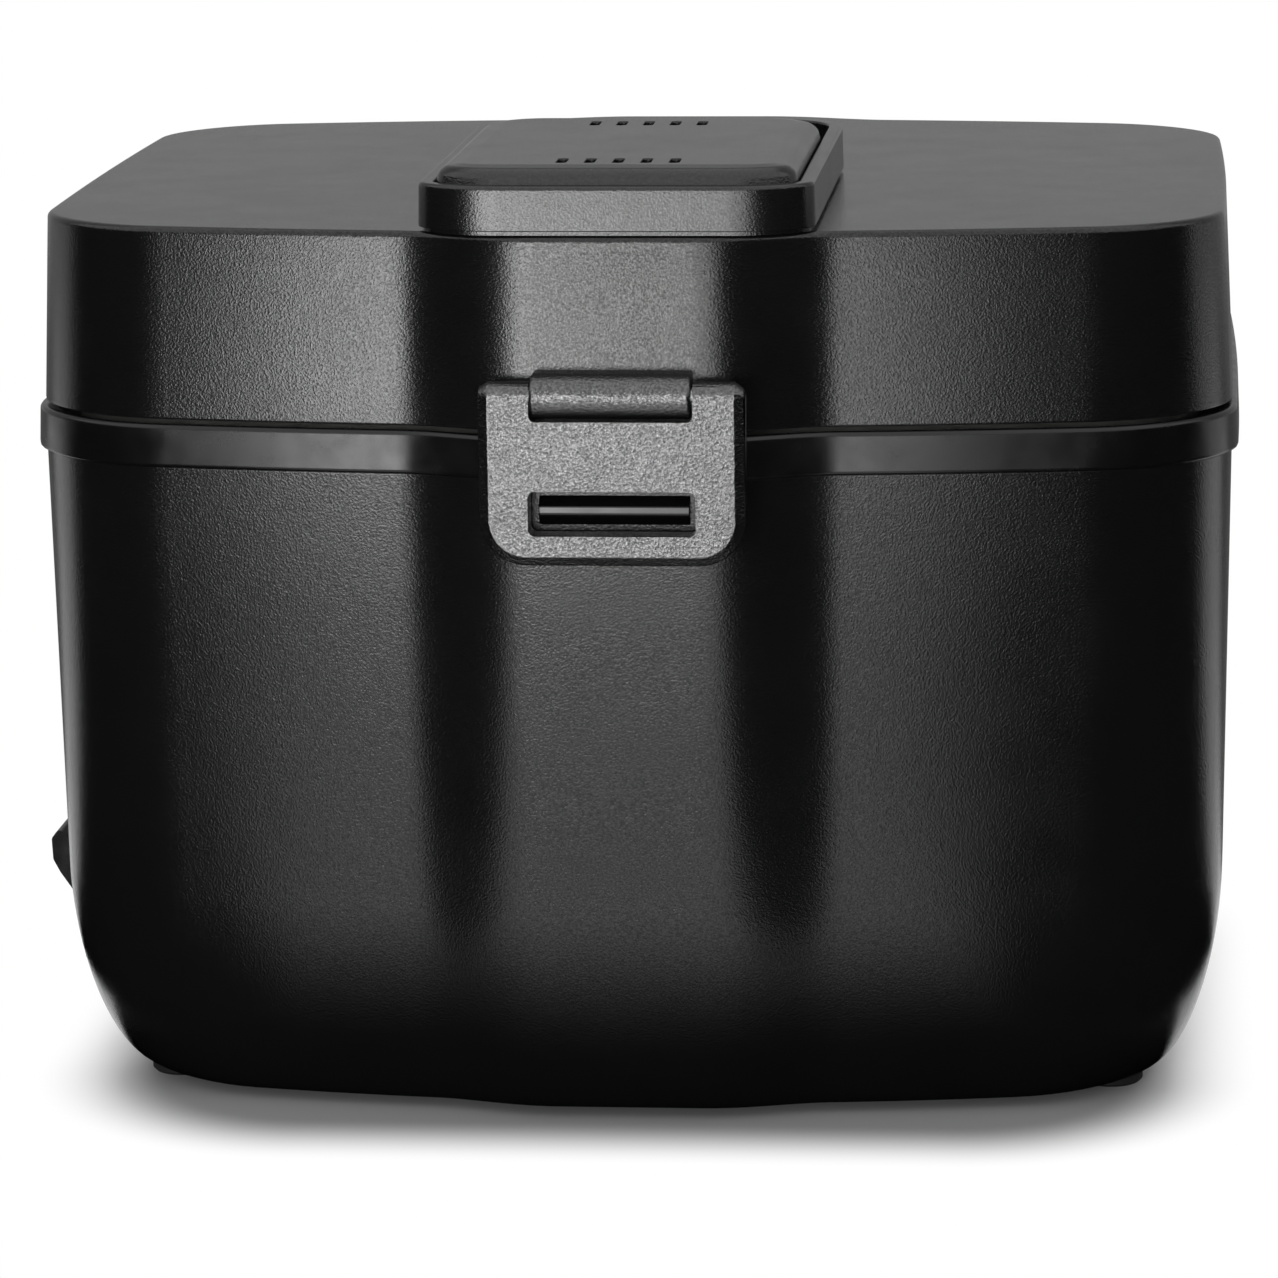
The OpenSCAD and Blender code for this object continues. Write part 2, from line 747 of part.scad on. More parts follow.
cap_d = vent_d - 2 * vent_wall - finger_well;
cap_w = vent_w - 2 * vent_wall - 2 * gap;
cap_y = -vent_front + vent_wall + gap + cap_d / 2;
function cap_ring(t, z) = at(round_rect(cap_w / 2 - t, cap_d / 2 - t, max(13 - t, 2), max(8 - t, 2), 0, cap_y), z);

module vent_housing() {
    color(black) difference() {
        loft([
            vent_ring(1, lid_top),
            vent_ring(1, lid_top + 0.8),
            vent_ring(0, lid_top + 0.9),
            vent_ring(0, vent_top - 1),
            vent_ring(0.3, vent_top - 0.3),
            vent_ring(1, vent_top),
            vent_ring(vent_wall - 0.4, vent_top),
            vent_ring(vent_wall, vent_top - 0.4),
            vent_ring(vent_wall, lid_top + vent_floor)]);
        translate([0, duct_y, lid_top - 1]) cylinder(r = duct_bore, h = vent_floor + 2, $fn = 48);
    }
}

slot_rows = [-vent_front + 14.3, -vent_front + 74.8];
module slot() {
    translate([-slot_w / 2, -slot_l / 2 + slot_w / 2, 0]) cube([slot_w, slot_l - slot_w, 6]);
    for (y = [-1, 1])
        translate([0, y * (slot_l - slot_w) / 2, 0]) cylinder(r = slot_w / 2, h = 6, $fn = 24);
}

module vent_cap() {
    z0 = lid_top + vent_floor;
    t = 1.8;
    color(black) difference() {
        loft([
            cap_ring(t + 3, cap_top - t),
            cap_ring(t + 1, cap_top - t - 1.6),
            cap_ring(t, cap_top - t - 2.6),
            cap_ring(t, z0),
            cap_ring(0, z0),
            cap_ring(0, vent_top - 1),
            cap_ring(0.9, vent_top + cap_rise * 0.35),
            cap_ring(1.8, vent_top + cap_rise * 0.75),
            cap_ring(3, cap_top)]);
        for (y = slot_rows, i = [-2:2])
            translate([i * slot_pitch, y, cap_top - t - 1]) slot();
    }
}

// ---- latch ----

latch_z = lid_z + latch_up;
latch_back = col_y + band_proud + 2 * gap;
latch_front = latch_back + latch_t;
latch_y = col_y + 3.6;
latch_pin_r = 1.5;
ear_r = latch_front - latch_y;
latch_low = latch_z - latch_drop;
barrel_gap = 0.6;
latch_edge = 1.8;
latch_corner = 9;

module along_x(x, l) {
    translate([x, 0, 0]) rotate([90, 0, 90]) linear_extrude(l) children();
}

module rod_x(x, l, r, y, z) {
    translate([x, y, z]) rotate([0, 90, 0]) cylinder(r = r, h = l, $fn = 48);
}

module latch_barrel() {
    color(black) difference() {
        union() {
            rod_x(-barrel_l / 2, barrel_l, barrel_r, -latch_y, latch_z);
            translate([-barrel_l / 2, -latch_y, latch_z - barrel_r])
                cube([barrel_l, latch_y - col_y, 2 * barrel_r]);
        }
        rod_x(-latch_w, 2 * latch_w, latch_pin_r, -latch_y, latch_z);
        translate([0, -lid_face(latch_z) - seat, latch_z]) rotate([-lid_draft, 0, 0])
            translate([-latch_w, 0, -20]) cube([2 * latch_w, 20, 40]);
    }
}

module latch_pin() {
    color(steel) rod_x(-latch_w / 2 + 1, latch_w - 2, latch_pin_r, -latch_y, latch_z);
}

// The plate's front outline in X and Z, inset by t, at depth y
function latch_ring(t, y) = [for (p = round_rect(latch_w / 2 - t, latch_drop / 2 - t,
    2.5 - t, latch_corner - t, 0, latch_z - latch_drop / 2)) [p[0], -y, p[1]]];

module latch_plate() {
    r = latch_edge;
    notch = barrel_l / 2 + barrel_gap;
    color(black) difference() {
        union() {
            loft(concat(
                [latch_ring(0.5, latch_back), latch_ring(0, latch_back + 0.5)],
                [for (i = [0:4])
                    latch_ring(r * (1 - cos(22.5 * i)), latch_front - r + r * sin(22.5 * i))]));
            rod_x(-latch_w / 2, latch_w, ear_r, -latch_y, latch_z);
        }
        rod_x(-latch_w, 2 * latch_w, latch_pin_r + run_fit, -latch_y, latch_z);
        translate([-notch, -latch_front - 1, latch_z - barrel_r - barrel_gap])
            cube([2 * notch, latch_t + 6, barrel_r + ear_r + 2]);
        translate([-window_w / 2, -latch_front - 1, latch_low + window_up])
            cube([window_w, latch_t + 2, window_h]);
    }
}

catch_r = 3.1;
module latch_catch() {
    z = latch_low + window_up + window_h / 2 - 0.3;
    nose = latch_back - gap;
    l = window_w - 3;
    color([0.07, 0.07, 0.075]) difference() {
        rod_x(-l / 2, l, catch_r, -(nose - catch_r), z);
        translate([-l, -body_face(z) - seat, z]) rotate([draft, 0, 0])
            translate([0, 0, -10]) cube([2 * l, 20, 20]);
    }
}

// ---- lid hinge ----

hinge_y = col_y + band_proud + 0.5 + knuckle_r;
hinge_z = lid_z - 0.4;
ears_l = knuckle_l + 2 * (gap + ear_w);
band_clear = col_y + band_proud + gap;
pad_low = body_h - 24;
pad_high = body_h - 0.6;

// The hinge base's side profile in Y and Z: a pad on the body and an arm up to the pin
function base_profile() = concat(
    [[body_face(pad_low) + seat, pad_low], [body_face(pad_high) + seat, pad_high],
     [band_clear, pad_high], [band_clear, hinge_z]],
    [[hinge_y + knuckle_r, hinge_z], [hinge_y + knuckle_r, body_h - 4],
     [body_face(pad_low) + 3, pad_low]]);

module hinge_base() {
    color(black) difference() {
        union() {
            for (x = [-ears_l / 2, knuckle_l / 2 + gap]) {
                along_x(x, ear_w) polygon(base_profile());
                rod_x(x, ear_w, knuckle_r, hinge_y, hinge_z);
            }
            along_x(-knuckle_l / 2 - gap, knuckle_l + 2 * gap) polygon([
                [body_face(pad_low) + seat, pad_low], [body_face(pad_high) + seat, pad_high],
                [band_clear, pad_high], [band_clear + 3, pad_high - 4],
                [body_face(pad_low) + 3, pad_low]]);
        }
        rod_x(-ears_l, 2 * ears_l, hinge_pin_r, hinge_y, hinge_z);
    }
}

module hinge_pin() {
    color(steel) rod_x(-ears_l / 2 - 0.6, ears_l + 1.2, hinge_pin_r, hinge_y, hinge_z);
}

leaf_h = 17;
leaf_t = 2.8;
module hinge_leaf() {
    z0 = lid_z + 0.2;
    color(black) difference() {
        union() {
            rod_x(-knuckle_l / 2, knuckle_l, knuckle_r, hinge_y, hinge_z);
            along_x(-knuckle_l / 2, knuckle_l) polygon([
                [lid_face(z0) + seat, z0], [lid_face(z0 + leaf_h) + seat, z0 + leaf_h],
                [col_y + leaf_t - 0.8, z0 + leaf_h], [col_y + leaf_t, z0 + leaf_h - 0.8],
                [col_y + leaf_t, hinge_z + knuckle_r + 2],
                [hinge_y, hinge_z + knuckle_r], [hinge_y, z0]]);
        }
        rod_x(-ears_l, 2 * ears_l, hinge_pin_r + run_fit, hinge_y, hinge_z);
    }
}

body_shell();
rim_collar();
basin();
base_plate();
feet();
base_screws();
inlet_hood();
inlet_socket();
inlet_pins();
heater_plate();
heating_element();
heater_clamp();
clamp_screws();
thermostat();
thermal_fuse();
lead_wires();
steam_rack();
rack_feet();
rice_box();
rice_box_lid();
color(steel) dish(-1);  // dish_left
color(white) dish_lid(-1);  // dish_left_lid
color(steel) dish(1);  // dish_right
color(white) dish_lid(1);  // dish_right_lid
latch_catch();
hinge_base();
hinge_pin();
lid_shell();
lid_inner_panel();
lid_seal();
lid_screws();
steam_duct();
hinge_leaf();
latch_barrel();
latch_pin();
latch_plate();
vent_housing();
vent_cap();
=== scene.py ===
"""Looks of a heated lunch box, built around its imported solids.

Laid out as a Blender add-on and run as a script. Shapes are worked out in millimetres and
turned to metres when a mesh is made.
"""
import json
import math

import bmesh
import bpy
from bpy.props import FloatProperty, FloatVectorProperty, PointerProperty
from mathutils import Matrix, Vector


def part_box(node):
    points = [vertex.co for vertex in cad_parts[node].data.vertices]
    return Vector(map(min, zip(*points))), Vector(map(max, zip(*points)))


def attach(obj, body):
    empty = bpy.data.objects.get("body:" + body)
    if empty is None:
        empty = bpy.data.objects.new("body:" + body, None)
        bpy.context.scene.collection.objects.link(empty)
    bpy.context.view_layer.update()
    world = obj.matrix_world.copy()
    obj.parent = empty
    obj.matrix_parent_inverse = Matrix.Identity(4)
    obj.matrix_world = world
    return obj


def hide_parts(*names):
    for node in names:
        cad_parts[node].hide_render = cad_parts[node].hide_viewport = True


bl_info = {
    "name": "Heated Lunch Box",
    "version": (1, 0, 0),
    "blender": (4, 5, 0),
    "location": "3D Viewport > Sidebar > Lunch Box",
    "description": "Finishes a heated lunch box: moulded shells, latch, vent and food boxes",
    "category": "Add Mesh",
}

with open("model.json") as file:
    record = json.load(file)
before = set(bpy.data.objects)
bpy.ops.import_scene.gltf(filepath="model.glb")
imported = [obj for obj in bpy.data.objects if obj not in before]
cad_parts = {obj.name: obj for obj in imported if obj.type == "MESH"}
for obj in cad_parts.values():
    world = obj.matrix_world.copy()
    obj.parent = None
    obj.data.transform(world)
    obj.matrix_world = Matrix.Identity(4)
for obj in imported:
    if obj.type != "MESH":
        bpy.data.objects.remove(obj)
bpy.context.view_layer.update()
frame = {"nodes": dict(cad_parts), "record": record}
MM = 0.001
NODE_SLOT = {row["node"]: row["material_slot"] for row in frame["record"]["subparts"]}
NODE_BODY = {
    node: body
    for body, nodes in frame["record"]["behaviour"]["bodies"].items()
    for node in nodes
}


def box_mm(node):
    """A CAD node's lowest and highest corner in millimetres."""
    return [Vector(corner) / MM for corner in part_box(node)]


BODY_LOW, BODY_HIGH = box_mm("body_shell")
COLLAR_LOW, COLLAR_HIGH = box_mm("rim_collar")
LID_LOW, LID_HIGH = box_mm("lid_shell")
PANEL_LOW, PANEL_HIGH = box_mm("lid_inner_panel")
BASIN_LOW, BASIN_HIGH = box_mm("basin")
VENT_LOW, VENT_HIGH = box_mm("vent_housing")
CAP_LOW, CAP_HIGH = box_mm("vent_cap")
LATCH_LOW, LATCH_HIGH = box_mm("latch_plate")
BARREL_LOW, BARREL_HIGH = box_mm("latch_barrel")
CATCH_LOW, CATCH_HIGH = box_mm("latch_catch")
HOOD_LOW, HOOD_HIGH = box_mm("inlet_hood")
SOCKET_LOW, SOCKET_HIGH = box_mm("inlet_socket")
PLATE_LOW, PLATE_HIGH = box_mm("base_plate")
EARS_LOW, EARS_HIGH = box_mm("hinge_base")
LEAF_LOW, LEAF_HIGH = box_mm("hinge_leaf")
PIN_LOW, PIN_HIGH = box_mm("hinge_pin")
DUCT_LOW, DUCT_HIGH = box_mm("steam_duct")
SEAL_LOW, SEAL_HIGH = box_mm("lid_seal")


def srgb(code):
    """An sRGB hex value as linear red, green and blue."""
    levels = [int(code[i : i + 2], 16) / 255 for i in (0, 2, 4)]
    return [v / 12.92 if v <= 0.04045 else ((v + 0.055) / 1.055) ** 2.4 for v in levels]


def length(name, description, default_mm):
    """A length in millimetres as a Blender property in metres."""
    return FloatProperty(
        name=name, description=description, default=default_mm * MM, unit="LENGTH", precision=5
    )


def angle(name, description, degrees):
    """An angle in degrees as a Blender property."""
    return FloatProperty(
        name=name, description=description, default=math.radians(degrees), unit="ROTATION"
    )


def colour(name, description, code):
    """A colour from its sRGB hex value as a Blender property."""
    return FloatVectorProperty(
        name=name, description=description, default=srgb(code), subtype="COLOR",
        size=3, min=0, max=1
    )


class LunchBoxSizes(bpy.types.PropertyGroup):
    """Sizes of the shells and of the surface patterns."""

    corner_r: length("Corner", "Corner radius of the shells' plan outline", 26)
    front_bow: length("Front bow", "How far the front and back bow out", 12.6)
    side_bow: length("Side bow", "How far the sides bow out", 1.2)
    column_proud: length("Column", "How far the centre column stands out", 5.5)
    column_flat: length("Column flat", "Width of the column's flat", 30)
    column_foot: length("Column foot", "Width of the column over its ramps", 86)
    wall: length("Wall", "Wall of the shells", 2.4)
    round_x: length("Bottom, sides", "Inward reach of the bottom rounding at the sides", 14)
    round_y: length("Bottom, front", "Inward reach of the bottom rounding at the front", 7)
    round_z: length("Bottom, height", "Height of the bottom rounding", 41)
    body_draft: angle("Body draft", "Draft of the body's walls", 0.9)
    lid_draft: angle("Lid draft", "Draft of the lid's walls", 2.3)
    shell_grain: length("Shell grain", "Cell size of the shells' pebble grain", 0.42)
    latch_grain: length("Latch grain", "Cell size of the latch's grain", 0.5)
    brush_pitch: length("Brush pitch", "Pitch of the brushed steel's lines", 0.5)


class LunchBoxColours(bpy.types.PropertyGroup):
    """Colours of the finishes."""

    shell: colour("Shells", "Etched black plastic of the body and lid", "121213")
    trim: colour("Trim", "Black plastic of the collar, hood and hinge", "0e0e0f")
    latch: colour("Latch", "Black plastic of the latch and the vent", "141415")
    catch: colour("Catch", "Glossy black plastic behind the window", "0a0a0b")
    inner: colour("Inner plastic", "White plastic of the panel and the box lids", "e6e5e0")
    rubber: colour("Feet", "Black rubber of the feet", "1c1c1d")
    silicone: colour("Silicone", "Seal, duct and rack feet", "d2d1cc")
    steel: colour("Steel", "Stainless steel sheet", "c9cacb")
    plated: colour("Plated steel", "Zinc plated steel", "b4b6b8")
    brass: colour("Pins", "Nickel plated brass", "cfc8b4")
    cast: colour("Heater", "Cast aluminium of the heater plate", "b9babc")
    ceramic: colour("Ceramic", "Alumina of the heating element", "d8d2c2")
    floor: colour("Floor", "Painted studio floor", "f4f4f4")


def mm(name):
    """One of the scene's lunch box lengths in millimetres."""
    return getattr(bpy.context.scene.lunch_box_sizes, name) / MM


def tint(name):
    """One of the scene's lunch box colours."""
    return (*getattr(bpy.context.scene.lunch_box_colours, name), 1.0)


# ---- shape of the shells ----

# Points on each stretch of an outline: lobe, column ramp, column flat, side and corner
OUTLINE_POINTS = (18, 14, 6, 12, 12)
HALF_W = BODY_HIGH.x


def spaced(start, end, count):
    """Evenly spaced values from start, without the end."""
    return [start + (end - start) * i / count for i in range(count)]


def outline(hx, hy, radius, proud, flat, foot):
    """The bowed plan outline with its two centre columns, front left corner first."""
    lobe, rise, level, side, corner = OUTLINE_POINTS
    ex, ey = hx - radius, hy - radius
    front = (
        spaced(-ex, -foot, lobe) + spaced(-foot, -flat, rise) + spaced(-flat, flat, level)
        + spaced(flat, foot, rise) + spaced(foot, ex, lobe)
    )
    turn = spaced(0, math.pi / 2, corner)
    points = [(x, -hy) for x in front]
    points += [(ex + radius * math.sin(a), -ey - radius * math.cos(a)) for a in turn]
    points += [(hx, y) for y in spaced(-ey, ey, side)]
    points += [(ex + radius * math.cos(a), ey + radius * math.sin(a)) for a in turn]
    points += [(-x, -y) for x, y in points]
    bowed = []
    front_bow, side_bow = mm("front_bow"), mm("side_bow")
    for x, y in points:
        share = min(max((abs(x) - flat) / (foot - flat), 0), 1)
        rise_share = (1 + math.cos(math.pi * share)) / 2
        bowed.append((
            x * (1 - side_bow / hx * (y / hy) ** 2),
            y * (1 - front_bow / hy * (x / hx) ** 2 * (1 - rise_share))
            + math.copysign(proud * rise_share, y),
        ))
    return bowed


def shell_ring(inset, z, column=1.0):
    """The shells' outline, inset, at height z. column is the share of the column's height."""
    half_d = BODY_HIGH.y - mm("column_proud")
    points = outline(
        HALF_W - inset, half_d - inset, max(mm("corner_r") - inset, 5),
        mm("column_proud") * column, mm("column_flat") / 2, mm("column_foot") / 2,
    )
    return [(x, y, z) for x, y in points]


def body_ring(z, share, inset):
    """One ring of the body: share is how far the bottom rounding has drawn in."""
    half_d = BODY_HIGH.y - mm("column_proud")
    sizes = bpy.context.scene.lunch_box_sizes
    d = (BODY_HIGH.z - z) * math.tan(sizes.body_draft) + inset
    width = 1 - 0.08 * share
    points = outline(
        HALF_W - d - mm("round_x") * share, half_d - d - mm("round_y") * share,
        mm("corner_r") - inset, mm("column_proud") * (1 - 0.45 * share),
        mm("column_flat") / 2 * width, mm("column_foot") / 2 * width,
    )
    return [(x, y, z) for x, y in points]


def body_wall(inset, z0, steps):
    """The body's rings from its bottom at z0 up to the straight wall's start."""
    power = 2 / 1.8
    top = mm("round_z") + BODY_LOW.z
    rings = []
    for i in range(steps + 1):
        a = math.pi / 2 * i / steps
        up = 1 - max(math.cos(a), 0) ** power
        drawn = 1 - math.sin(a) ** power
        rings.append(body_ring(z0 + (top - z0) * up, drawn, inset))
    return rings


def lid_inset(z):
    """How far the lid's draft has brought its face in at height z."""
    return (z - LID_LOW.z) * math.tan(bpy.context.scene.lunch_box_sizes.lid_draft)


def lid_ring(inset, z):
    """The lid's outline, inset from its drafted face."""
    return shell_ring(inset + lid_inset(z), z)


def rounded(profile, closed=False, steps=4):
    """A profile with each corner turned into an arc of its own radius.

    Each point is (values..., radius). The values are an inset, a height and whatever else
    the ring needs, and are mixed alike.
    """
    out = []
    count = len(profile)
    for i, point in enumerate(profile):
        values, radius = Vector(point[:-1]), point[-1]
        if radius <= 0 or (not closed and i in (0, count - 1)):
            out.append(tuple(values))
            continue
        before = Vector(profile[i - 1][:-1])
        after = Vector(profile[(i + 1) % count][:-1])
        to_before, to_after = (before - values), (after - values)
        flat_before, flat_after = Vector(to_before[:2]), Vector(to_after[:2])
        if flat_before.length < 1e-6 or flat_after.length < 1e-6:
            out.append(tuple(values))
            continue
        half = flat_before.angle(flat_after, math.pi) / 2
        reach = min(
            radius / max(math.tan(half), 1e-3), 0.48 * flat_before.length,
            0.48 * flat_after.length,
        )
        start = values + to_before * (reach / flat_before.length)
        end = values + to_after * (reach / flat_after.length)
        for k in range(steps + 1):
            t = k / steps
            out.append(tuple((1 - t) ** 2 * start + 2 * t * (1 - t) * values + t * t * end))
    return out


def round_rect(hx, hy, back, front, cx=0.0, cy=0.0, steps=10, stretch=1.0):
    """A rounded rectangle with its own corner radii at the back and at the front.

    The front corners reach further along X by the stretch.
    """
    points = []
    for quarter in range(4):
        sx = 1 if quarter in (0, 3) else -1
        sy = 1 if quarter < 2 else -1
        r = max(back if quarter < 2 else front, 0.05)
        rx = r if quarter < 2 else r * stretch
        for i in range(steps + 1):
            a = math.pi / 2 * (quarter + i / steps)
            points.append(
                (cx + sx * (hx - rx) + rx * math.cos(a), cy + sy * (hy - r) + r * math.sin(a))
            )
    return points


# ---- mesh makers ----

# Edges that turn by more than this, in degrees, are drawn sharp
SHARP_EDGE = 38
SHARP_BEVELLED_EDGE = 50


def link(obj):
    """Puts a new object into the scene."""
    bpy.context.scene.collection.objects.link(obj)
    return obj


def new_object(name, bm):
    """A mesh object from a bmesh in millimetres, with its sharp edges marked."""
    bmesh.ops.recalc_face_normals(bm, faces=bm.faces)
    for v in bm.verts:
        v.co *= MM
    mesh = bpy.data.meshes.new(name)
    bm.to_mesh(mesh)
    bm.free()
    shade(mesh, SHARP_EDGE)
    return link(bpy.data.objects.new(name, mesh))


def shade(mesh, sharp_deg):
    """Shades a mesh smooth apart from its sharp edges."""
    for polygon in mesh.polygons:
        polygon.use_smooth = True
    mesh.set_sharp_from_angle(angle=math.radians(sharp_deg))


def loft(name, rings, closed=False):
    """A solid through a stack of rings. A closed one joins its last ring to its first."""
    bm = bmesh.new()
    rows = [[bm.verts.new(p) for p in ring] for ring in rings]
    count = len(rows[0])
    spans = len(rows) if closed else len(rows) - 1
    for k in range(spans):
        a, b = rows[k], rows[(k + 1) % len(rows)]
        for i in range(count):
            j = (i + 1) % count
            bm.faces.new((a[i], a[j], b[j], b[i]))
    if not closed:
        bm.faces.new(list(reversed(rows[0])))
        bm.faces.new(rows[-1])
    return new_object(name, bm)


def prism(name, points, place, depth, edge=0.0, steps=3):
    """A solid that sweeps a flat outline through a depth, with both ends' edges rounded.

    place turns (u, v, depth) into a point.
    """
    count = len(points)
    area = sum(
        points[i][0] * points[(i + 1) % count][1] - points[(i + 1) % count][0] * points[i][1]
        for i in range(count)
    )
    turn = 1 if area > 0 else -1

    def drawn_in(amount):
        """The outline moved inwards along each corner's bisector."""
        out = []
        for i in range(count):
            a, b, c = (Vector(points[k % count]) for k in (i - 1, i, i + 1))
            n1 = Vector((-(b - a).y, (b - a).x)).normalized() * turn
            n2 = Vector((-(c - b).y, (c - b).x)).normalized() * turn
            bisector = n1 + n2
            scale = amount / max(bisector.length_squared / 2, 0.3)
            out.append(b + bisector * scale)
        return out

    stops = [(0.0, depth[0]), (0.0, depth[1])]
    if edge > 0:
        arc = [math.pi / 2 * k / steps for k in range(steps + 1)]
        stops = [(edge * (1 - math.sin(a)), depth[0] + edge * (1 - math.cos(a))) for a in arc]
        stops += [
            (edge * (1 - math.cos(a)), depth[1] - edge * (1 - math.sin(a))) for a in arc
        ]
    rings = [[place(p[0], p[1], w) for p in drawn_in(t)] for t, w in stops]
    return loft(name, rings)


def rod(name, radius, start, end, axis="x", centre=(0.0, 0.0), edge=0.3, count=64):
    """A round rod along X or Z from start to end, with rounded ends, about a centre."""
    turn = [2 * math.pi * i / count for i in range(count)]
    points = [(radius * math.cos(a), radius * math.sin(a)) for a in turn]

    def place(u, v, w):
        """A point of the rod's section at its depth."""
        u, v = centre[0] + u, centre[1] + v
        return (w, u, v) if axis == "x" else (u, v, w)

    return prism(name, points, place, (start, end), edge)


def apply_modifier(obj, modifier):
    """Applies one modifier of an object."""
    with bpy.context.temp_override(object=obj, active_object=obj, selected_objects=[obj]):
        bpy.ops.object.modifier_apply(modifier=modifier.name)


def combine(obj, tools, operation="DIFFERENCE"):
    """Cuts tools from an object, or joins them to it, and drops them."""
    for tool in tools:
        modifier = obj.modifiers.new("Cut", "BOOLEAN")
        modifier.operation, modifier.object, modifier.solver = operation, tool, "EXACT"
        apply_modifier(obj, modifier)
        mesh = tool.data
        bpy.data.objects.remove(tool)
        bpy.data.meshes.remove(mesh)
    return obj


def soften(obj, width, limit_deg):
    """Rounds an object's sharp edges by a width in millimetres and evens its shading."""
    modifier = obj.modifiers.new("Edge", "BEVEL")
    modifier.width, modifier.segments = width * MM, 2
    modifier.limit_method, modifier.angle_limit = "ANGLE", math.radians(limit_deg)
    modifier.use_clamp_overlap = True
    modifier.miter_outer = "MITER_ARC"
    apply_modifier(obj, modifier)
    shade(obj.data, SHARP_BEVELLED_EDGE)
    return even_shading(obj)


def even_shading(obj):
    """Lets large faces keep their own shading beside narrow rounded ones."""
    modifier = obj.modifiers.new("Shading", "WEIGHTED_NORMAL")
    modifier.keep_sharp, modifier.weight = True, 60
    apply_modifier(obj, modifier)
    return obj


def stand_in(obj, *nodes):
    """Puts a finished piece in the place of CAD nodes, which it hides: the finish of their slot,
    and their body.
    """
    name = NODE_SLOT[nodes[0]]
    obj.data.materials.clear()
    obj.data.materials.append(bpy.data.materials[FINISH_NAMES[name]])
    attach(obj, NODE_BODY[nodes[0]])
    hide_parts(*nodes)
    return obj


def carried(*nodes):
    """Gives CAD nodes whose shape is right their finish."""
    for node in nodes:
        obj = frame["nodes"][node]
        finish = bpy.data.materials[FINISH_NAMES[NODE_SLOT[node]]]
        if obj.material_slots:
            for place in obj.material_slots:
                place.material = finish
        else:
            obj.data.materials.append(finish)


# ---- finishes ----

FINISH_NAMES = {
    "shell_plastic": "etched_abs_shell",
    "trim_plastic": "satin_abs_trim",
    "latch_plastic": "coarse_etched_abs_latch_painted_sheen",
    "vent_plastic": "etched_abs_vent",
    "base_plastic": "moulded_pp_base",
    "socket_plastic": "pressed_phenolic_socket",
    "catch_plastic": "polished_abs_catch",
    "inner_plastic": "moulded_white_pp",
    "silicone": "cast_silicone",
    "foot_rubber": "moulded_rubber",
    "lead_sleeve": "extruded_silicone_sleeve",
    "basin_steel": "drawn_stainless_basin",
    "box_steel": "brushed_stainless_boxes",
    "clamp_steel": "rolled_zinc_steel",
    "screw_steel": "zinc_plated_screws",
    "pin_steel": "ground_steel_pin",
    "pin_brass": "nickel_plated_brass",
    "heater_aluminium": "cast_aluminium",
    "heater_ceramic": "sintered_alumina",
}


def add(tree, kind, settings=None, links=None):
    """Adds a node with its settings and the links into it. Input names come before properties."""
    node = tree.nodes.new(kind)
    for key, value in (settings or {}).items():
        if isinstance(key, int) or key in node.inputs:
            node.inputs[key].default_value = value
        else:
            setattr(node, key, value)
    for key, source in (links or {}).items():
        tree.links.new(source, node.inputs[key])
    return node


def emptied(owner):
    """The emptied node tree of a material or a world."""
    owner.use_nodes = True
    owner.node_tree.nodes.clear()
    return owner.node_tree


def begin(name, settings):
    """A new material's tree, its shader and the object's own coordinates."""
    tree = emptied(bpy.data.materials.new(name))
    shader = add(tree, "ShaderNodeBsdfPrincipled", settings)
    add(tree, "ShaderNodeOutputMaterial", None, {"Surface": shader.outputs["BSDF"]})
    place = add(tree, "ShaderNodeTexCoord").outputs["Object"]
    return tree, shader, place


def clouded_roughness(tree, place, shader, low, high, size_mm):
    """Varies the roughness between two levels in soft clouds of a real size."""
    noise = add(
        tree, "ShaderNodeTexNoise", {"Scale": 1 / (size_mm * MM), "Detail": 3.0},
        {"Vector": place},
    )
    spread = add(
        tree, "ShaderNodeMapRange",
        {"From Min": 0.3, "From Max": 0.7, "To Min": low, "To Max": high},
        {"Value": noise.outputs["Fac"]},
    )
    tree.links.new(spread.outputs["Result"], shader.inputs["Roughness"])
    return noise.outputs["Fac"]


def clouded_colour(tree, shader, driver, colour_a, colour_b):
    """Varies the colour between two close ones by a pattern."""
    mix = add(
        tree, "ShaderNodeMix", {"data_type": "RGBA", 6: colour_a, 7: colour_b}, {0: driver}
    )
    tree.links.new(mix.outputs[2], shader.inputs["Base Color"])


def lighter(rgba, factor):
    """A colour times a factor."""
    return (*[min(v * factor, 1.0) for v in rgba[:3]], 1.0)


def bumps(tree, shader, heights):
    """Chains height patterns into the shader's normal. Each is (socket, depth in mm)."""
    normal = None
    for socket, depth in heights:
        links = {"Height": socket}
        if normal:
            links["Normal"] = normal
        normal = add(
            tree, "ShaderNodeBump", {"Strength": 1.0, "Distance": depth * MM}, links
        ).outputs["Normal"]
    tree.links.new(normal, shader.inputs["Normal"])


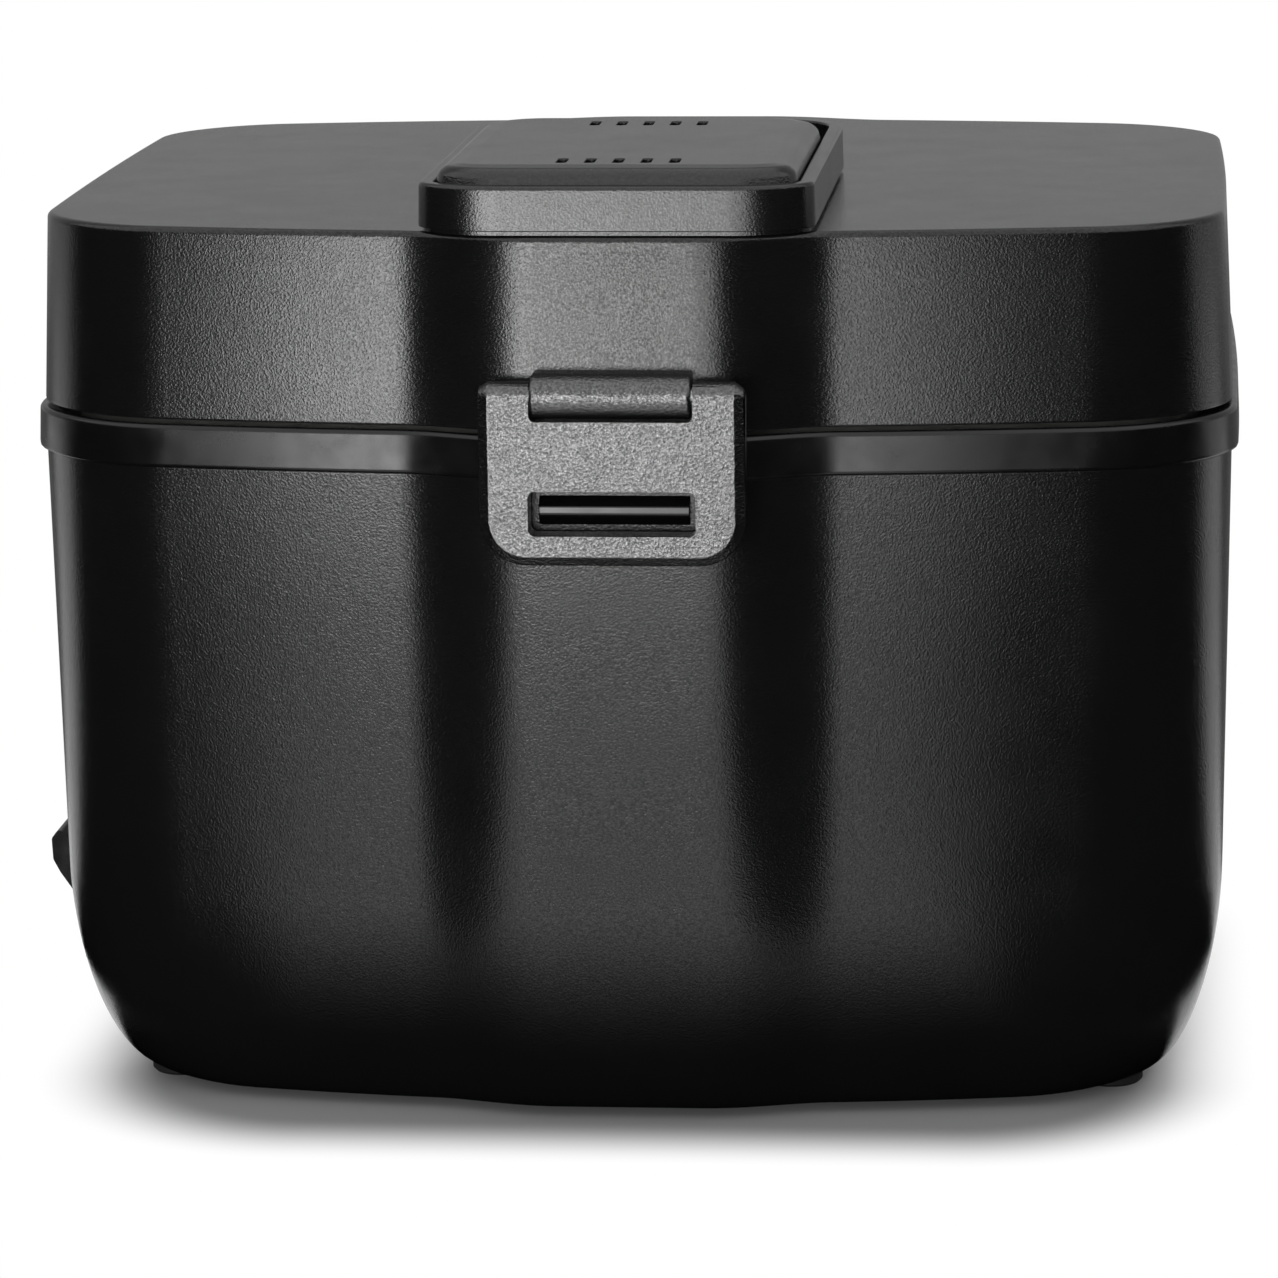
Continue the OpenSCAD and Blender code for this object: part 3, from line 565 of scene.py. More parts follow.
def etched_plastic(
    name, base, grain, depth, rough, ior, ripple=0.03, ripple_size=16, glint=0.3
):
    """Moulded plastic from an etched tool: domed pebble cells over a faint moulding ripple.

    Depths are in millimetres. The pits between the cells shine less than the domes, by the
    glint.
    """
    tree, shader, place = begin(name, {"IOR": ior})
    cells = add(
        tree, "ShaderNodeTexVoronoi",
        {"feature": "SMOOTH_F1", "Scale": 1 / (grain * MM), "Smoothness": 0.6},
        {"Vector": place},
    )
    grit = add(
        tree, "ShaderNodeTexNoise", {"Scale": 1 / (grain * MM), "Detail": 2.0, "Roughness": 0.6},
        {"Vector": place},
    )
    waves = add(
        tree, "ShaderNodeTexNoise", {"Scale": 1 / (ripple_size * MM), "Detail": 1.0},
        {"Vector": place},
    )
    shine = add(
        tree, "ShaderNodeMapRange",
        {"From Min": 0.35, "From Max": 0.65, "To Min": 0.5 * (1 - glint),
         "To Max": 0.5 * (1 + glint)},
        {"Value": grit.outputs["Fac"]},
    )
    tree.links.new(shine.outputs["Result"], shader.inputs["Specular IOR Level"])
    clouds = clouded_roughness(tree, place, shader, rough - 0.015, rough + 0.02, 14)
    clouded_colour(tree, shader, clouds, lighter(base, 0.9), lighter(base, 1.1))
    bumps(tree, shader, [
        (waves.outputs["Fac"], ripple), (cells.outputs["Distance"], 0.5 * depth),
        (grit.outputs["Fac"], 1.6 * depth),
    ])


def satin_plastic(name, base, rough, grain=0.25, depth=0.004, ior=1.5, **settings):
    """Moulded plastic or rubber from a blasted tool: a fine even grain."""
    tree, shader, place = begin(name, {"IOR": ior, **settings})
    grit = add(
        tree, "ShaderNodeTexNoise", {"Scale": 1 / (grain * MM), "Detail": 2.0},
        {"Vector": place},
    )
    clouds = clouded_roughness(tree, place, shader, rough - 0.05, rough + 0.05, 6)
    clouded_colour(tree, shader, clouds, lighter(base, 0.92), lighter(base, 1.06))
    bumps(tree, shader, [(grit.outputs["Fac"], depth)])


def brushed_metal(name, base, rough, pitch, depth, stretch):
    """Metal with fine parallel lines, stretched along X, and soft handling marks."""
    tree, shader, place = begin(name, {"Metallic": 1.0})
    along = add(
        tree, "ShaderNodeMapping", {"Scale": (1 / stretch, 1.0, 1.0)}, {"Vector": place}
    )
    lines = add(
        tree, "ShaderNodeTexNoise", {"Scale": 1 / (pitch * MM), "Detail": 3.0},
        {"Vector": along.outputs["Vector"]},
    )
    spread = add(
        tree, "ShaderNodeMapRange",
        {"From Min": 0.3, "From Max": 0.7, "To Min": rough - 0.06, "To Max": rough + 0.08},
        {"Value": lines.outputs["Fac"]},
    )
    tree.links.new(spread.outputs["Result"], shader.inputs["Roughness"])
    marks = add(
        tree, "ShaderNodeTexNoise", {"Scale": 1 / (14 * MM), "Detail": 2.0}, {"Vector": place}
    )
    clouded_colour(tree, shader, marks.outputs["Fac"], lighter(base, 0.9), lighter(base, 1.04))
    bumps(tree, shader, [(marks.outputs["Fac"], 0.02), (lines.outputs["Fac"], depth)])


class LUNCHBOX_OT_finishes(bpy.types.Operator):
    """Makes the finishes of all pieces"""

    bl_idname = "lunchbox.finishes"
    bl_label = "Finishes"

    def execute(self, context):
        """Makes each material from its real one."""
        # Black ABS moulded in an etched tool: small domed cells that break a highlight
        # into sparkle, and a matt face between lights. The real cells, about 0.15 mm, are
        # too fine to show and are drawn coarser
        etched_plastic("etched_abs_shell", tint("shell"), mm("shell_grain"), 0.028, 0.18, 1.54)
        # The same ABS in a coarser etch: it glitters where it is lit. Its index stands above that
        # of ABS as painted highlight, so that the latch shines brighter than the lamps alone make
        # it
        etched_plastic(
            "coarse_etched_abs_latch_painted_sheen", tint("latch"), mm("latch_grain"), 0.1, 0.19, 2.12285,
            ripple=0.25, ripple_size=9,
        )
        # The shells' etch, a little glossier and with less glitter
        etched_plastic(
            "etched_abs_vent", tint("latch"), mm("shell_grain"), 0.03, 0.19, 1.62034,
            glint=0.15,
        )
        # Blasted ABS: satin, so that edges draw a soft thin line of light
        satin_plastic("satin_abs_trim", tint("trim"), 0.24)
        # Polypropylene, a little waxy and dull
        satin_plastic("moulded_pp_base", tint("shell"), 0.55, grain=0.4, depth=0.008)
        # Pressed thermoset, dull with a gritty face
        satin_plastic("pressed_phenolic_socket", tint("trim"), 0.5, grain=0.3, depth=0.01)
        # Mould-polished ABS: a clear narrow highlight along the nose
        satin_plastic("polished_abs_catch", tint("catch"), 0.17, grain=2.0, depth=0.002)
        # White polypropylene: slightly see-through, so edges glow a little
        satin_plastic(
            "moulded_white_pp", tint("inner"), 0.4, grain=0.5, depth=0.006,
            **{"Subsurface Weight": 0.15, "Subsurface Radius": (0.002, 0.002, 0.0018),
               "Subsurface Scale": 1.0},
        )
        # Silicone rubber: soft, cloudy, with a dull sheen
        satin_plastic(
            "cast_silicone", tint("silicone"), 0.6, grain=0.6, depth=0.01, ior=1.41,
            **{"Subsurface Weight": 0.2, "Subsurface Radius": (0.003, 0.003, 0.0028),
               "Subsurface Scale": 1.0},
        )
        # The same rubber drawn out as a sleeve, a little smoother and wavy
        satin_plastic(
            "extruded_silicone_sleeve", tint("silicone"), 0.55, grain=1.2, depth=0.02, ior=1.41
        )
        # Nitrile rubber with a floury face
        satin_plastic("moulded_rubber", tint("rubber"), 0.75, grain=0.35, depth=0.015)
        # Sintered alumina: chalky, finely pitted
        satin_plastic("sintered_alumina", tint("ceramic"), 0.7, grain=0.5, depth=0.03, ior=1.7)
        # Deep drawn stainless sheet, polished: faint draw lines
        brushed_metal("drawn_stainless_basin", tint("steel"), 0.2, 1.2, 0.003, 6)
        # Belt-brushed stainless sheet: long fine lines. The real pitch, about 0.05 mm, is too
        # fine to show and is drawn coarser
        brushed_metal("brushed_stainless_boxes", tint("steel"), 0.3, mm("brush_pitch"), 0.006, 24)
        # Cold rolled sheet with zinc: cloudy and dull
        brushed_metal("rolled_zinc_steel", tint("plated"), 0.42, 2.5, 0.01, 3)
        # Bright zinc on turned and rolled steel: duller than steel sheet, without direction
        brushed_metal("zinc_plated_screws", tint("plated"), 0.34, 0.8, 0.006, 1)
        # Centreless ground rod: fine rings around it
        brushed_metal("ground_steel_pin", tint("steel"), 0.22, 0.3, 0.004, 0.2)
        # Nickel over drawn brass: smooth, with a warm cast
        brushed_metal("nickel_plated_brass", tint("brass"), 0.24, 0.6, 0.003, 4)
        # Aluminium cast in a sanded mould: pale, matt and pitted
        brushed_metal("cast_aluminium", tint("cast"), 0.5, 0.9, 0.04, 1)
        return {"FINISHED"}


# ---- body ----


def upright(u, v, w):
    """Places a plan outline at a height."""
    return (u, v, w)


def sideways(u, v, w):
    """Places an outline in Y and Z at an X."""
    return (w, u, v)


def frontways(u, v, w):
    """Places an outline in X and Z at a Y."""
    return (u, w, v)


def plate_block(name, inset, low, high, radius):
    """An upright block over the base plate's outline, inset, with rounded plan corners."""
    hx, hy = (PLATE_HIGH.x - PLATE_LOW.x) / 2 - inset, (PLATE_HIGH.y - PLATE_LOW.y) / 2 - inset
    cx, cy = (PLATE_LOW.x + PLATE_HIGH.x) / 2, (PLATE_LOW.y + PLATE_HIGH.y) / 2
    return prism(name, round_rect(hx, hy, radius, radius, cx, cy, 8), upright, (low, high))


# The socket's gap in its sleeve, the sleeve's wall and its gap in the body
SOCKET_GAP, SLEEVE_WALL, SLEEVE_GAP = 0.15, 1.2, 0.3


def socket_block(name, gap, start, end, radius):
    """A block along X round the inlet's socket, with a gap and rounded corners."""
    cy, cz = (SOCKET_LOW.y + SOCKET_HIGH.y) / 2, (SOCKET_LOW.z + SOCKET_HIGH.z) / 2
    hy, hz = (SOCKET_HIGH.y - SOCKET_LOW.y) / 2, (SOCKET_HIGH.z - SOCKET_LOW.z) / 2
    points = round_rect(hy + gap, hz + gap, radius, radius, cy, cz, 6)
    return prism(name, points, sideways, (start, end))


# Heights of the body's rings between its bottom rounding and its lip
BODY_RINGS = (70, 98)


class LUNCHBOX_OT_body(bpy.types.Operator):
    """Makes the outer tub with its bottom opening and the inlet's cut-out"""

    bl_idname = "lunchbox.body"
    bl_label = "Body Shell"

    def execute(self, context):
        """Lofts the tub and cuts it."""
        wall = mm("wall")
        top = BODY_HIGH.z
        outer = body_wall(0, BODY_LOW.z, 22)
        straight = [body_ring(z, 0, 0) for z in (*BODY_RINGS, top - 0.5)]
        lip = [body_ring(top - 0.15, 0, 0.12), body_ring(top, 0, 0.45)]
        inner = body_wall(wall, BODY_LOW.z + 4, 8)
        rings = outer + straight + lip + [body_ring(top, 0, wall)] + inner[::-1]
        shell = loft("body_shell_moulding", rings)
        recess = plate_block("recess", -0.3, 0, PLATE_HIGH.z + 0.02, 12.3)
        opening = plate_block("opening", 12, 1, BODY_LOW.z + 8, 12)
        mouth = socket_block(
            "mouth", SOCKET_GAP + SLEEVE_WALL + SLEEVE_GAP, HOOD_LOW.x - 2, SOCKET_LOW.x + 10, 1.0
        )
        combine(shell, [recess, opening, mouth])
        stand_in(even_shading(shell), "body_shell")
        return {"FINISHED"}


class LUNCHBOX_OT_collar(bpy.types.Operator):
    """Makes the band between the body and the lid"""

    bl_idname = "lunchbox.collar"
    bl_label = "Rim Collar"

    def execute(self, context):
        """Sweeps the collar's section round the outline."""
        proud = COLLAR_HIGH.x - HALF_W
        low, top = BODY_HIGH.z, COLLAR_HIGH.z
        # The ledge that carries the basin's flange, and the skirt inside the body
        ledge_z, ledge_in = top - 1.3, 11.3
        skirt_out, skirt_in, skirt_low = 2.9, 4.9, low - 8
        section = rounded([
            (-proud, low, 1, 0.8), (-proud + 0.3, top, 1, 1.1), (6, top, 0, 0.4),
            (6, ledge_z, 0, 0), (ledge_in, ledge_z, 0, 0.3), (ledge_in, ledge_z - 3, 0, 0.3),
            (skirt_in, ledge_z - 3, 0.6, 0.5), (skirt_in, skirt_low, 1, 0.3),
            (skirt_out, skirt_low, 1, 0.3), (skirt_out, low, 1, 0),
        ], closed=True)
        collar = loft(
            "rim_collar_moulding", [shell_ring(t, z, c) for t, z, c in section], closed=True
        )
        stand_in(even_shading(collar), "rim_collar")
        return {"FINISHED"}


class LUNCHBOX_OT_basin(bpy.types.Operator):
    """Makes the pressed steel basin with its flange"""

    bl_idname = "lunchbox.basin"
    bl_label = "Basin"

    def execute(self, context):
        """Lofts the basin's inside and outside."""
        low, top, sheet = BASIN_LOW.z, BASIN_HIGH.z, 0.8
        flange = HALF_W - BASIN_HIGH.x
        inner = flange + 7
        drop = (top - low) * math.tan(math.radians(1.2))
        section = rounded([
            (inner + drop + 14, low, 0),
            (inner + drop - sheet, low, 9),
            (inner - sheet, top - sheet, 1.4),
            (flange, top - sheet, 0.35),
            (flange, top, 0.35),
            (inner, top, 2.0),
            (inner + drop, low + sheet, 8.2),
            (inner + drop + 14, low + sheet, 0),
        ], steps=6)
        basin = loft("basin_pressing", [shell_ring(t, z, 0.0) for t, z in section])
        stand_in(even_shading(basin), "basin")
        return {"FINISHED"}


class LUNCHBOX_OT_inlet(bpy.types.Operator):
    """Makes the spill hood over the power inlet"""

    bl_idname = "lunchbox.inlet"
    bl_label = "Inlet Hood"

    def execute(self, context):
        """Sweeps the hood's side profile, then cuts the body's face and the socket from it."""
        tip, top, low = HOOD_LOW.x, HOOD_HIGH.z - 3.5, HOOD_LOW.z
        inside = HOOD_HIGH.x
        profile = rounded([
            (inside, low, 0.4), (inside, top, 0.4), (tip + 3.4, top, 1.0),
            (tip + 1.6, top + 2, 1.1), (tip, top - 0.2, 1.0), (tip + 0.2, top - 4.6, 1.2),
            (tip + 1.6, top - 7.3, 1.2), (tip + 4.6, top - 11.7, 2.0), (inside - 2, low, 1.0),
        ], closed=True, steps=5)
        # The hood runs into the body towards its rear end
        steps, straight_share, drawn_in = 12, 0.35, 0.38
        rings = []
        for step in range(steps + 1):
            share = max(step / steps - straight_share, 0) / (1 - straight_share)
            reach = 1 - drawn_in * share**1.5
            y = HOOD_LOW.y + (HOOD_HIGH.y - HOOD_LOW.y) * step / steps
            rings.append([(inside + (u - inside) * reach, y, v) for u, v in profile])
        hood = loft("inlet_hood_moulding", rings)
        clear = -0.12
        face = body_wall(clear, BODY_LOW.z, 22)
        face += [body_ring(z, 0, clear) for z in (*BODY_RINGS, BODY_HIGH.z)]
        cut = loft("face", face)
        sleeve = socket_block(
            "sleeve", SOCKET_GAP + SLEEVE_WALL, SOCKET_LOW.x - 6, SOCKET_LOW.x + 6, 0.8
        )
        mouth = socket_block("mouth", SOCKET_GAP, tip - 2, SOCKET_LOW.x + 24, 0.6)
        combine(hood, [cut])
        combine(hood, [sleeve], "UNION")
        combine(hood, [mouth])
        soften(hood, 0.3, 55)
        stand_in(hood, "inlet_hood")
        return {"FINISHED"}


# ---- food boxes ----


def box_ring(kind, inset, z, side):
    """A food box's outline: the rice box follows the basin, the dish boxes are rounded."""
    if kind == "rice":
        rim = HALF_W - box_mm("rice_box")[1].x
        return shell_ring(rim + inset, z, 0.0)
    low, high = box_mm("dish_left" if side < 0 else "dish_right")
    hx, hy = (high.x - low.x) / 2, (high.y - low.y) / 2
    points = round_rect(
        hx - inset, hy - inset, 16 - inset, 16 - inset, (low.x + high.x) / 2, 0.0, 12
    )
    return [(x, y, z) for x, y in points]


def food_box(node, kind, side):
    """One pressed food box with a rolled rim."""
    low, high = (corner.z for corner in box_mm(node))
    section = rounded([
        (20, low, 0), (3, low, 6), (2, high - 1, 0.8), (0, high - 1, 0.45),
        (0, high, 0.45), (3, high, 1.2), (4, low + 1, 5), (20, low + 1, 0),
    ], steps=5)
    box = loft(node + "_pressing", [box_ring(kind, t, z, side) for t, z in section])
    stand_in(even_shading(box), node)


def food_box_lid(node, under, kind, side):
    """One moulded lid with a skirt, a flat rim and a raised top."""
    z = box_mm(under)[1].z
    top = box_mm(node)[1].z
    section = rounded([
        (20, top - 1.2, 0), (7.7, top - 1.2, 1.5), (6.2, z, 1.5), (-0.3, z, 0.5),
        (-0.3, z - 4, 0.2), (-1.5, z - 4, 0.4), (-1.5, z + 1.2, 1.0), (5, z + 1.2, 1.6),
        (6.5, top, 1.6), (20, top, 0),
    ], steps=4)
    lid = loft(node + "_moulding", [box_ring(kind, t, h, side) for t, h in section])
    stand_in(even_shading(lid), node)


class LUNCHBOX_OT_food_boxes(bpy.types.Operator):
    """Makes the rice box, the two dish boxes and their lids"""

    bl_idname = "lunchbox.food_boxes"
    bl_label = "Food Boxes"

    def execute(self, context):
        """Makes the three boxes, then the three lids."""
        for node, kind, side in (
            ("rice_box", "rice", 0), ("dish_left", "dish", -1), ("dish_right", "dish", 1)
        ):
            food_box(node, kind, side)
            food_box_lid(node + "_lid", node, kind, side)
        return {"FINISHED"}


# ---- lid ----


def duct_hole(low, high):
    """A cutter for the steam duct's upright hole."""
    return rod("hole", 6, low, high, "z", (0, (DUCT_LOW.y + DUCT_HIGH.y) / 2), 0.0, 48)


class LUNCHBOX_OT_lid(bpy.types.Operator):
    """Makes the lid's outer shell"""

    bl_idname = "lunchbox.lid"
    bl_label = "Lid Shell"

    def execute(self, context):
        """Lofts the lid from its ceiling round the edges to its top."""
        wall = mm("wall")
        low, top = LID_LOW.z, LID_HIGH.z
        section = rounded([
            (40, top - wall, 0), (wall, top - wall, 1.5), (wall, low, 0.3), (0, low, 0.45),
            (0, top, 1.3), (12, top, 0),
        ], steps=6)
        shell = loft("lid_shell_moulding", [lid_ring(t, z) for t, z in section])
        stand_in(even_shading(shell), "lid_shell")
        return {"FINISHED"}


class LUNCHBOX_OT_lid_inside(bpy.types.Operator):
    """Makes the lid's domed inner panel and its silicone seal"""

    bl_idname = "lunchbox.lid_inside"
    bl_label = "Lid Inside"

    def execute(self, context):
        """Lofts the panel, cuts the steam hole and sweeps the seal."""
        low, top, rim = PANEL_LOW.z, PANEL_HIGH.z, 12.5
        thick = 1.6
        dome = top - thick
        edge = mm("wall") + 0.3 + lid_inset(low)
        section = rounded([
            (rim + 20, dome, 0, 0), (rim + 14, dome, 0, 6), (rim + 3, dome - thick, 0, 2.5),
            (rim, low, 0, 1.5), (edge, low, 1, 0.4), (edge, low + thick, 1, 0.4),
            (rim - thick, low + thick, 0, 2.0), (rim + 1.2, dome, 0, 2.5),
            (rim + 13.5, top, 0, 6), (rim + 20, top, 0, 0),
        ], steps=5)
        panel = loft("lid_panel_moulding", [shell_ring(t, z, c) for t, z, c in section])
        combine(panel, [duct_hole(dome - 2, top + 2)])
        stand_in(even_shading(panel), "lid_inner_panel")
        out = HALF_W - SEAL_HIGH.x
        seal_low, seal_top = SEAL_LOW.z, SEAL_HIGH.z
        lips = rounded([
            (out, seal_low + 0.8, 0.3), (out, seal_top, 0), (out + 4.6, seal_top, 0),
            (out + 4.6, seal_low + 1.4, 0.5), (out + 3.4, seal_low, 0.6),
            (out + 2.1, seal_low + 0.9, 0.6), (out + 0.8, seal_low, 0.6),
        ], closed=True)
        seal = loft("lid_seal_ring", [shell_ring(t, z, 0.0) for t, z in lips], closed=True)
        stand_in(even_shading(seal), "lid_seal")
        return {"FINISHED"}


# ---- vent ----


def vent_ring(inset, z, low, high, back, front):
    """A rounded rectangle between two corners, inset, at height z."""
    hx, hy = (high.x - low.x) / 2 - inset, (high.y - low.y) / 2 - inset
    points = round_rect(
        hx, hy, max(back - inset, 2), max(front - inset, 2), 0.0, (low.y + high.y) / 2, 16, 1.75
    )
    return [(x, y, z) for x, y in points]


class LUNCHBOX_OT_vent(bpy.types.Operator):
    """Makes the vent's ring housing and its slotted cap"""

    bl_idname = "lunchbox.vent"
    bl_label = "Steam Vent"

    def execute(self, context):
        """Lofts both and cuts the steam hole and the slots."""
        low, top, wall = VENT_LOW.z, VENT_HIGH.z, 3.0
        section = rounded([
            (16, low, 0), (1, low, 0), (1, low + 0.8, 0.1), (0, low + 0.8, 0.25),
            (0.2, top, 0.9), (wall, top, 0.5), (wall, low + 2.4, 1.2), (16, low + 2.4, 0),
        ], steps=5)
        housing = loft(
            "vent_housing_moulding",
            [vent_ring(t, z, VENT_LOW, VENT_HIGH, 15, 9.5) for t, z in section],
        )
        combine(housing, [duct_hole(low - 1, low + 4)])
        stand_in(even_shading(housing), "vent_housing")

        cap_top, rise = CAP_HIGH.z, CAP_HIGH.z - top
        skin = rounded([
            (12, cap_top - 1.8, 0), (4, cap_top - 1.8, 1.5), (1.8, cap_top - 4.4, 1.5),
            (1.8, CAP_LOW.z, 0.2), (0, CAP_LOW.z, 0.3), (0, top - 0.6, 1.0),
            (0.5, top + rise * 0.5, 2.0), (1.9, top + rise * 0.88, 2.5),
            (5.2, cap_top, 4.0), (12, cap_top, 0),
        ], steps=5)
        cap = loft(
            "vent_cap_moulding",
            [vent_ring(t, z, CAP_LOW, CAP_HIGH, 13, 8) for t, z in skin],
        )
        # Two rows of five slots, at their distances from the housing's front
        pitch, slot_l, slot_w = 5.4, 7.0, 2.0
        for row in (14.3, 74.8):
            for i in range(-2, 3):
                points = round_rect(
                    slot_w / 2, slot_l / 2, slot_w / 2, slot_w / 2, i * pitch, VENT_LOW.y + row
                )
                combine(cap, [prism("slot", points, upright, (cap_top - 6, cap_top + 2))])
        soften(cap, 0.22, 60)
        stand_in(cap, "vent_cap")
        return {"FINISHED"}


# ---- latch ----


class LUNCHBOX_OT_latch(bpy.types.Operator):
    """Makes the latch's plate, its fixed barrel and the catch's nose"""

    bl_idname = "lunchbox.latch"
    bl_label = "Latch"

    def execute(self, context):
        """Makes the plate, cuts its notch and window, then the barrel and the nose."""
        axis_y = -(BODY_HIGH.y + 3.6)
        ear_r = axis_y - LATCH_LOW.y
        axis_z = LATCH_HIGH.z - ear_r
        low, half = LATCH_LOW.z, LATCH_HIGH.x
        front, back = -LATCH_LOW.y, -LATCH_HIGH.y
        mid, hz = (low + axis_z) / 2, (axis_z - low) / 2
        bevel_in, bevel_deep = 1.9, 1.4
        section = rounded([
            (8, back, 0), (0, back, 0.4), (0, front - bevel_deep, 0.8), (bevel_in, front, 0.5),
            (8, front, 0),
        ], steps=6)

        def plate_ring(inset, y):
            """The plate's front outline at a depth, inset at its sides and its bottom."""
            points = round_rect(
                half - inset, hz - inset / 2, 0.05, max(9 - inset, 1), 0, mid + inset / 2, 12
            )
            return [(x, -y, z) for x, z in points]

        plate = loft("latch_plate_moulding", [plate_ring(t, y) for t, y in section])
        # The ears' ends have the plate's own edge, as far in as their radius lets them
        ends = [(t, ear_r - front + y) for t, y in section if y > front - ear_r + 0.4 and t < 6]
        turn = spaced(0, 2 * math.pi, 64)
        ear = loft("ear", [
            [(x, axis_y + r * math.cos(a), axis_z + r * math.sin(a)) for a in turn]
            for x, r in [(t - half, r) for t, r in ends] + [(half - t, r) for t, r in ends[::-1]]
        ])
        combine(plate, [ear], "UNION")
        gap, bore_r = 0.3, 1.56
        notch = BARREL_HIGH.x + gap
        barrel_r = axis_y - BARREL_LOW.y
        window = CATCH_HIGH.x + 1.5
        window_low, window_high = low + 5.9, low + 14.5
        cuts = [rod("bore", bore_r, -half - 2, half + 2, "x", (axis_y, axis_z), 0.0, 40)]
        notch_low, notch_top = axis_z - barrel_r - gap, LATCH_HIGH.z + 3
        for name, half_w, low_z, high_z, top_r, low_r in (
            ("notch", notch, notch_low, notch_top, 0.1, 1.2),
            ("window", window, window_low, window_high, 1.3, 1.3),
        ):
            points = round_rect(
                half_w, (high_z - low_z) / 2, top_r, low_r, 0, (low_z + high_z) / 2, 6
            )
            cuts.append(prism(name, points, frontways, (-front - 2, -back + 4)))
        combine(plate, cuts)
        soften(plate, 0.3, 50)
        stand_in(plate, "latch_plate")
        # The window's walls are not etched
        plate.data.materials.append(bpy.data.materials[FINISH_NAMES["trim_plastic"]])
        for polygon in plate.data.polygons:
            x, _, z = polygon.center / MM
            inside = abs(x) < window + 0.15 and window_low - 0.15 < z < window_high + 0.15
            if inside and abs(polygon.normal.y) < 0.9:
                polygon.material_index = 1

        # The barrel is round in front and flat against the lid's leaning face
        face = -(BODY_HIGH.y - lid_inset(axis_z)) + 0.02
        lean = barrel_r * math.tan(bpy.context.scene.lunch_box_sizes.lid_draft)
        points = [
            (axis_y + barrel_r * math.cos(a), axis_z + barrel_r * math.sin(a))
            for a in (math.pi / 2 + math.pi * i / 24 for i in range(25))
        ]
        points += [(face - lean, axis_z - barrel_r), (face + lean, axis_z + barrel_r)]
        barrel = prism(
            "latch_barrel_moulding", points, sideways, (BARREL_LOW.x, BARREL_HIGH.x), 0.7, 4
        )
        stand_in(even_shading(barrel), "latch_barrel")

        tip, back_y = CATCH_LOW.y, CATCH_HIGH.y
        nose_low, nose_top = CATCH_LOW.z, CATCH_HIGH.z
        points = rounded([
            (back_y - 0.05, nose_low, 0), (tip + 1.2, nose_low + 0.05, 0.9),
            (tip, nose_low + 2.1, 1.6), (tip + 0.05, nose_low + 3.7, 0.9),
            (tip + 1.45, nose_top - 0.05, 0.6), (back_y - 0.05, nose_top, 0),
        ], closed=True, steps=8)
        nose = prism(
            "latch_catch_moulding", points, sideways, (CATCH_LOW.x, CATCH_HIGH.x), 0.25
        )
        stand_in(even_shading(nose), "latch_catch")
        return {"FINISHED"}


# ---- hinge ----


class LUNCHBOX_OT_hinge(bpy.types.Operator):
    """Makes the hinge's base, leaf and pin at the back"""

    bl_idname = "lunchbox.hinge"
    bl_label = "Lid Hinge"

    def execute(self, context):
        """Makes the leaf between the base's two ears, and the pin through them."""
        radius = EARS_HIGH.z - (EARS_HIGH.z + LEAF_LOW.z) / 2
        axis_y, axis_z = EARS_HIGH.y - radius, EARS_HIGH.z - radius
        col_y = BODY_HIGH.y
        clear = COLLAR_HIGH.y + 0.3
        pad_low, pad_high = EARS_LOW.z, BODY_HIGH.z - 0.6
        sizes = bpy.context.scene.lunch_box_sizes

        def face(z):
            """The body's back column face at height z."""
            return col_y - (BODY_HIGH.z - z) * math.tan(sizes.body_draft) - 0.5

        def swept(name, points, low, high, edge=0.5):
            """A side profile in Y and Z swept along X."""
            return prism(
                name, rounded([(*p, 0.5) for p in points], closed=True, steps=3), sideways,
                (low, high), edge,
            )

        half = EARS_HIGH.x
        inner = LEAF_HIGH.x + 0.3
        arm = [
            (face(pad_low), pad_low), (face(pad_high), pad_high), (clear, pad_high),
            (clear, axis_z), (axis_y + radius, axis_z), (axis_y + radius, BODY_HIGH.z - 4),
            (face(pad_low) + 3, pad_low),
        ]
        pad = [
            (face(pad_low), pad_low), (face(pad_high), pad_high), (clear, pad_high),
            (clear + 3, pad_high - 4), (face(pad_low) + 3, pad_low),
        ]
        base = swept("hinge_base_moulding", arm, -half, -inner)
        rest = [
            swept("arm", arm, inner, half),
            swept("pad", pad, -inner - 0.5, inner + 0.5, 0.0),
            rod("ear", radius, -half, -inner, "x", (axis_y, axis_z), 0.5),
            rod("ear", radius, inner, half, "x", (axis_y, axis_z), 0.5),
        ]
        combine(base, rest, "UNION")
        stand_in(even_shading(base), "hinge_base")

        z0, top = LID_LOW.z + 0.2, LEAF_HIGH.z

        def lid_face(z):
            """The lid's back column face at height z."""
            return col_y - lid_inset(z) + 0.01

        plate = [
            (lid_face(z0), z0), (lid_face(top), top), (col_y + 2.0, top),
            (col_y + 2.8, top - 0.8), (col_y + 2.8, axis_z + radius + 2),
            (axis_y, axis_z + radius), (axis_y, z0),
        ]
        leaf = swept("hinge_leaf_moulding", plate, LEAF_LOW.x, LEAF_HIGH.x)
        knuckle = rod("knuckle", radius, LEAF_LOW.x, LEAF_HIGH.x, "x", (axis_y, axis_z), 0.5)
        combine(leaf, [knuckle], "UNION")
        stand_in(even_shading(leaf), "hinge_leaf")

        pin_r = (PIN_HIGH.z - PIN_LOW.z) / 2
        pin = rod("hinge_pin_rod", pin_r, PIN_LOW.x, PIN_HIGH.x, "x", (axis_y, axis_z), 0.5)
        stand_in(even_shading(pin), "hinge_pin")
        return {"FINISHED"}


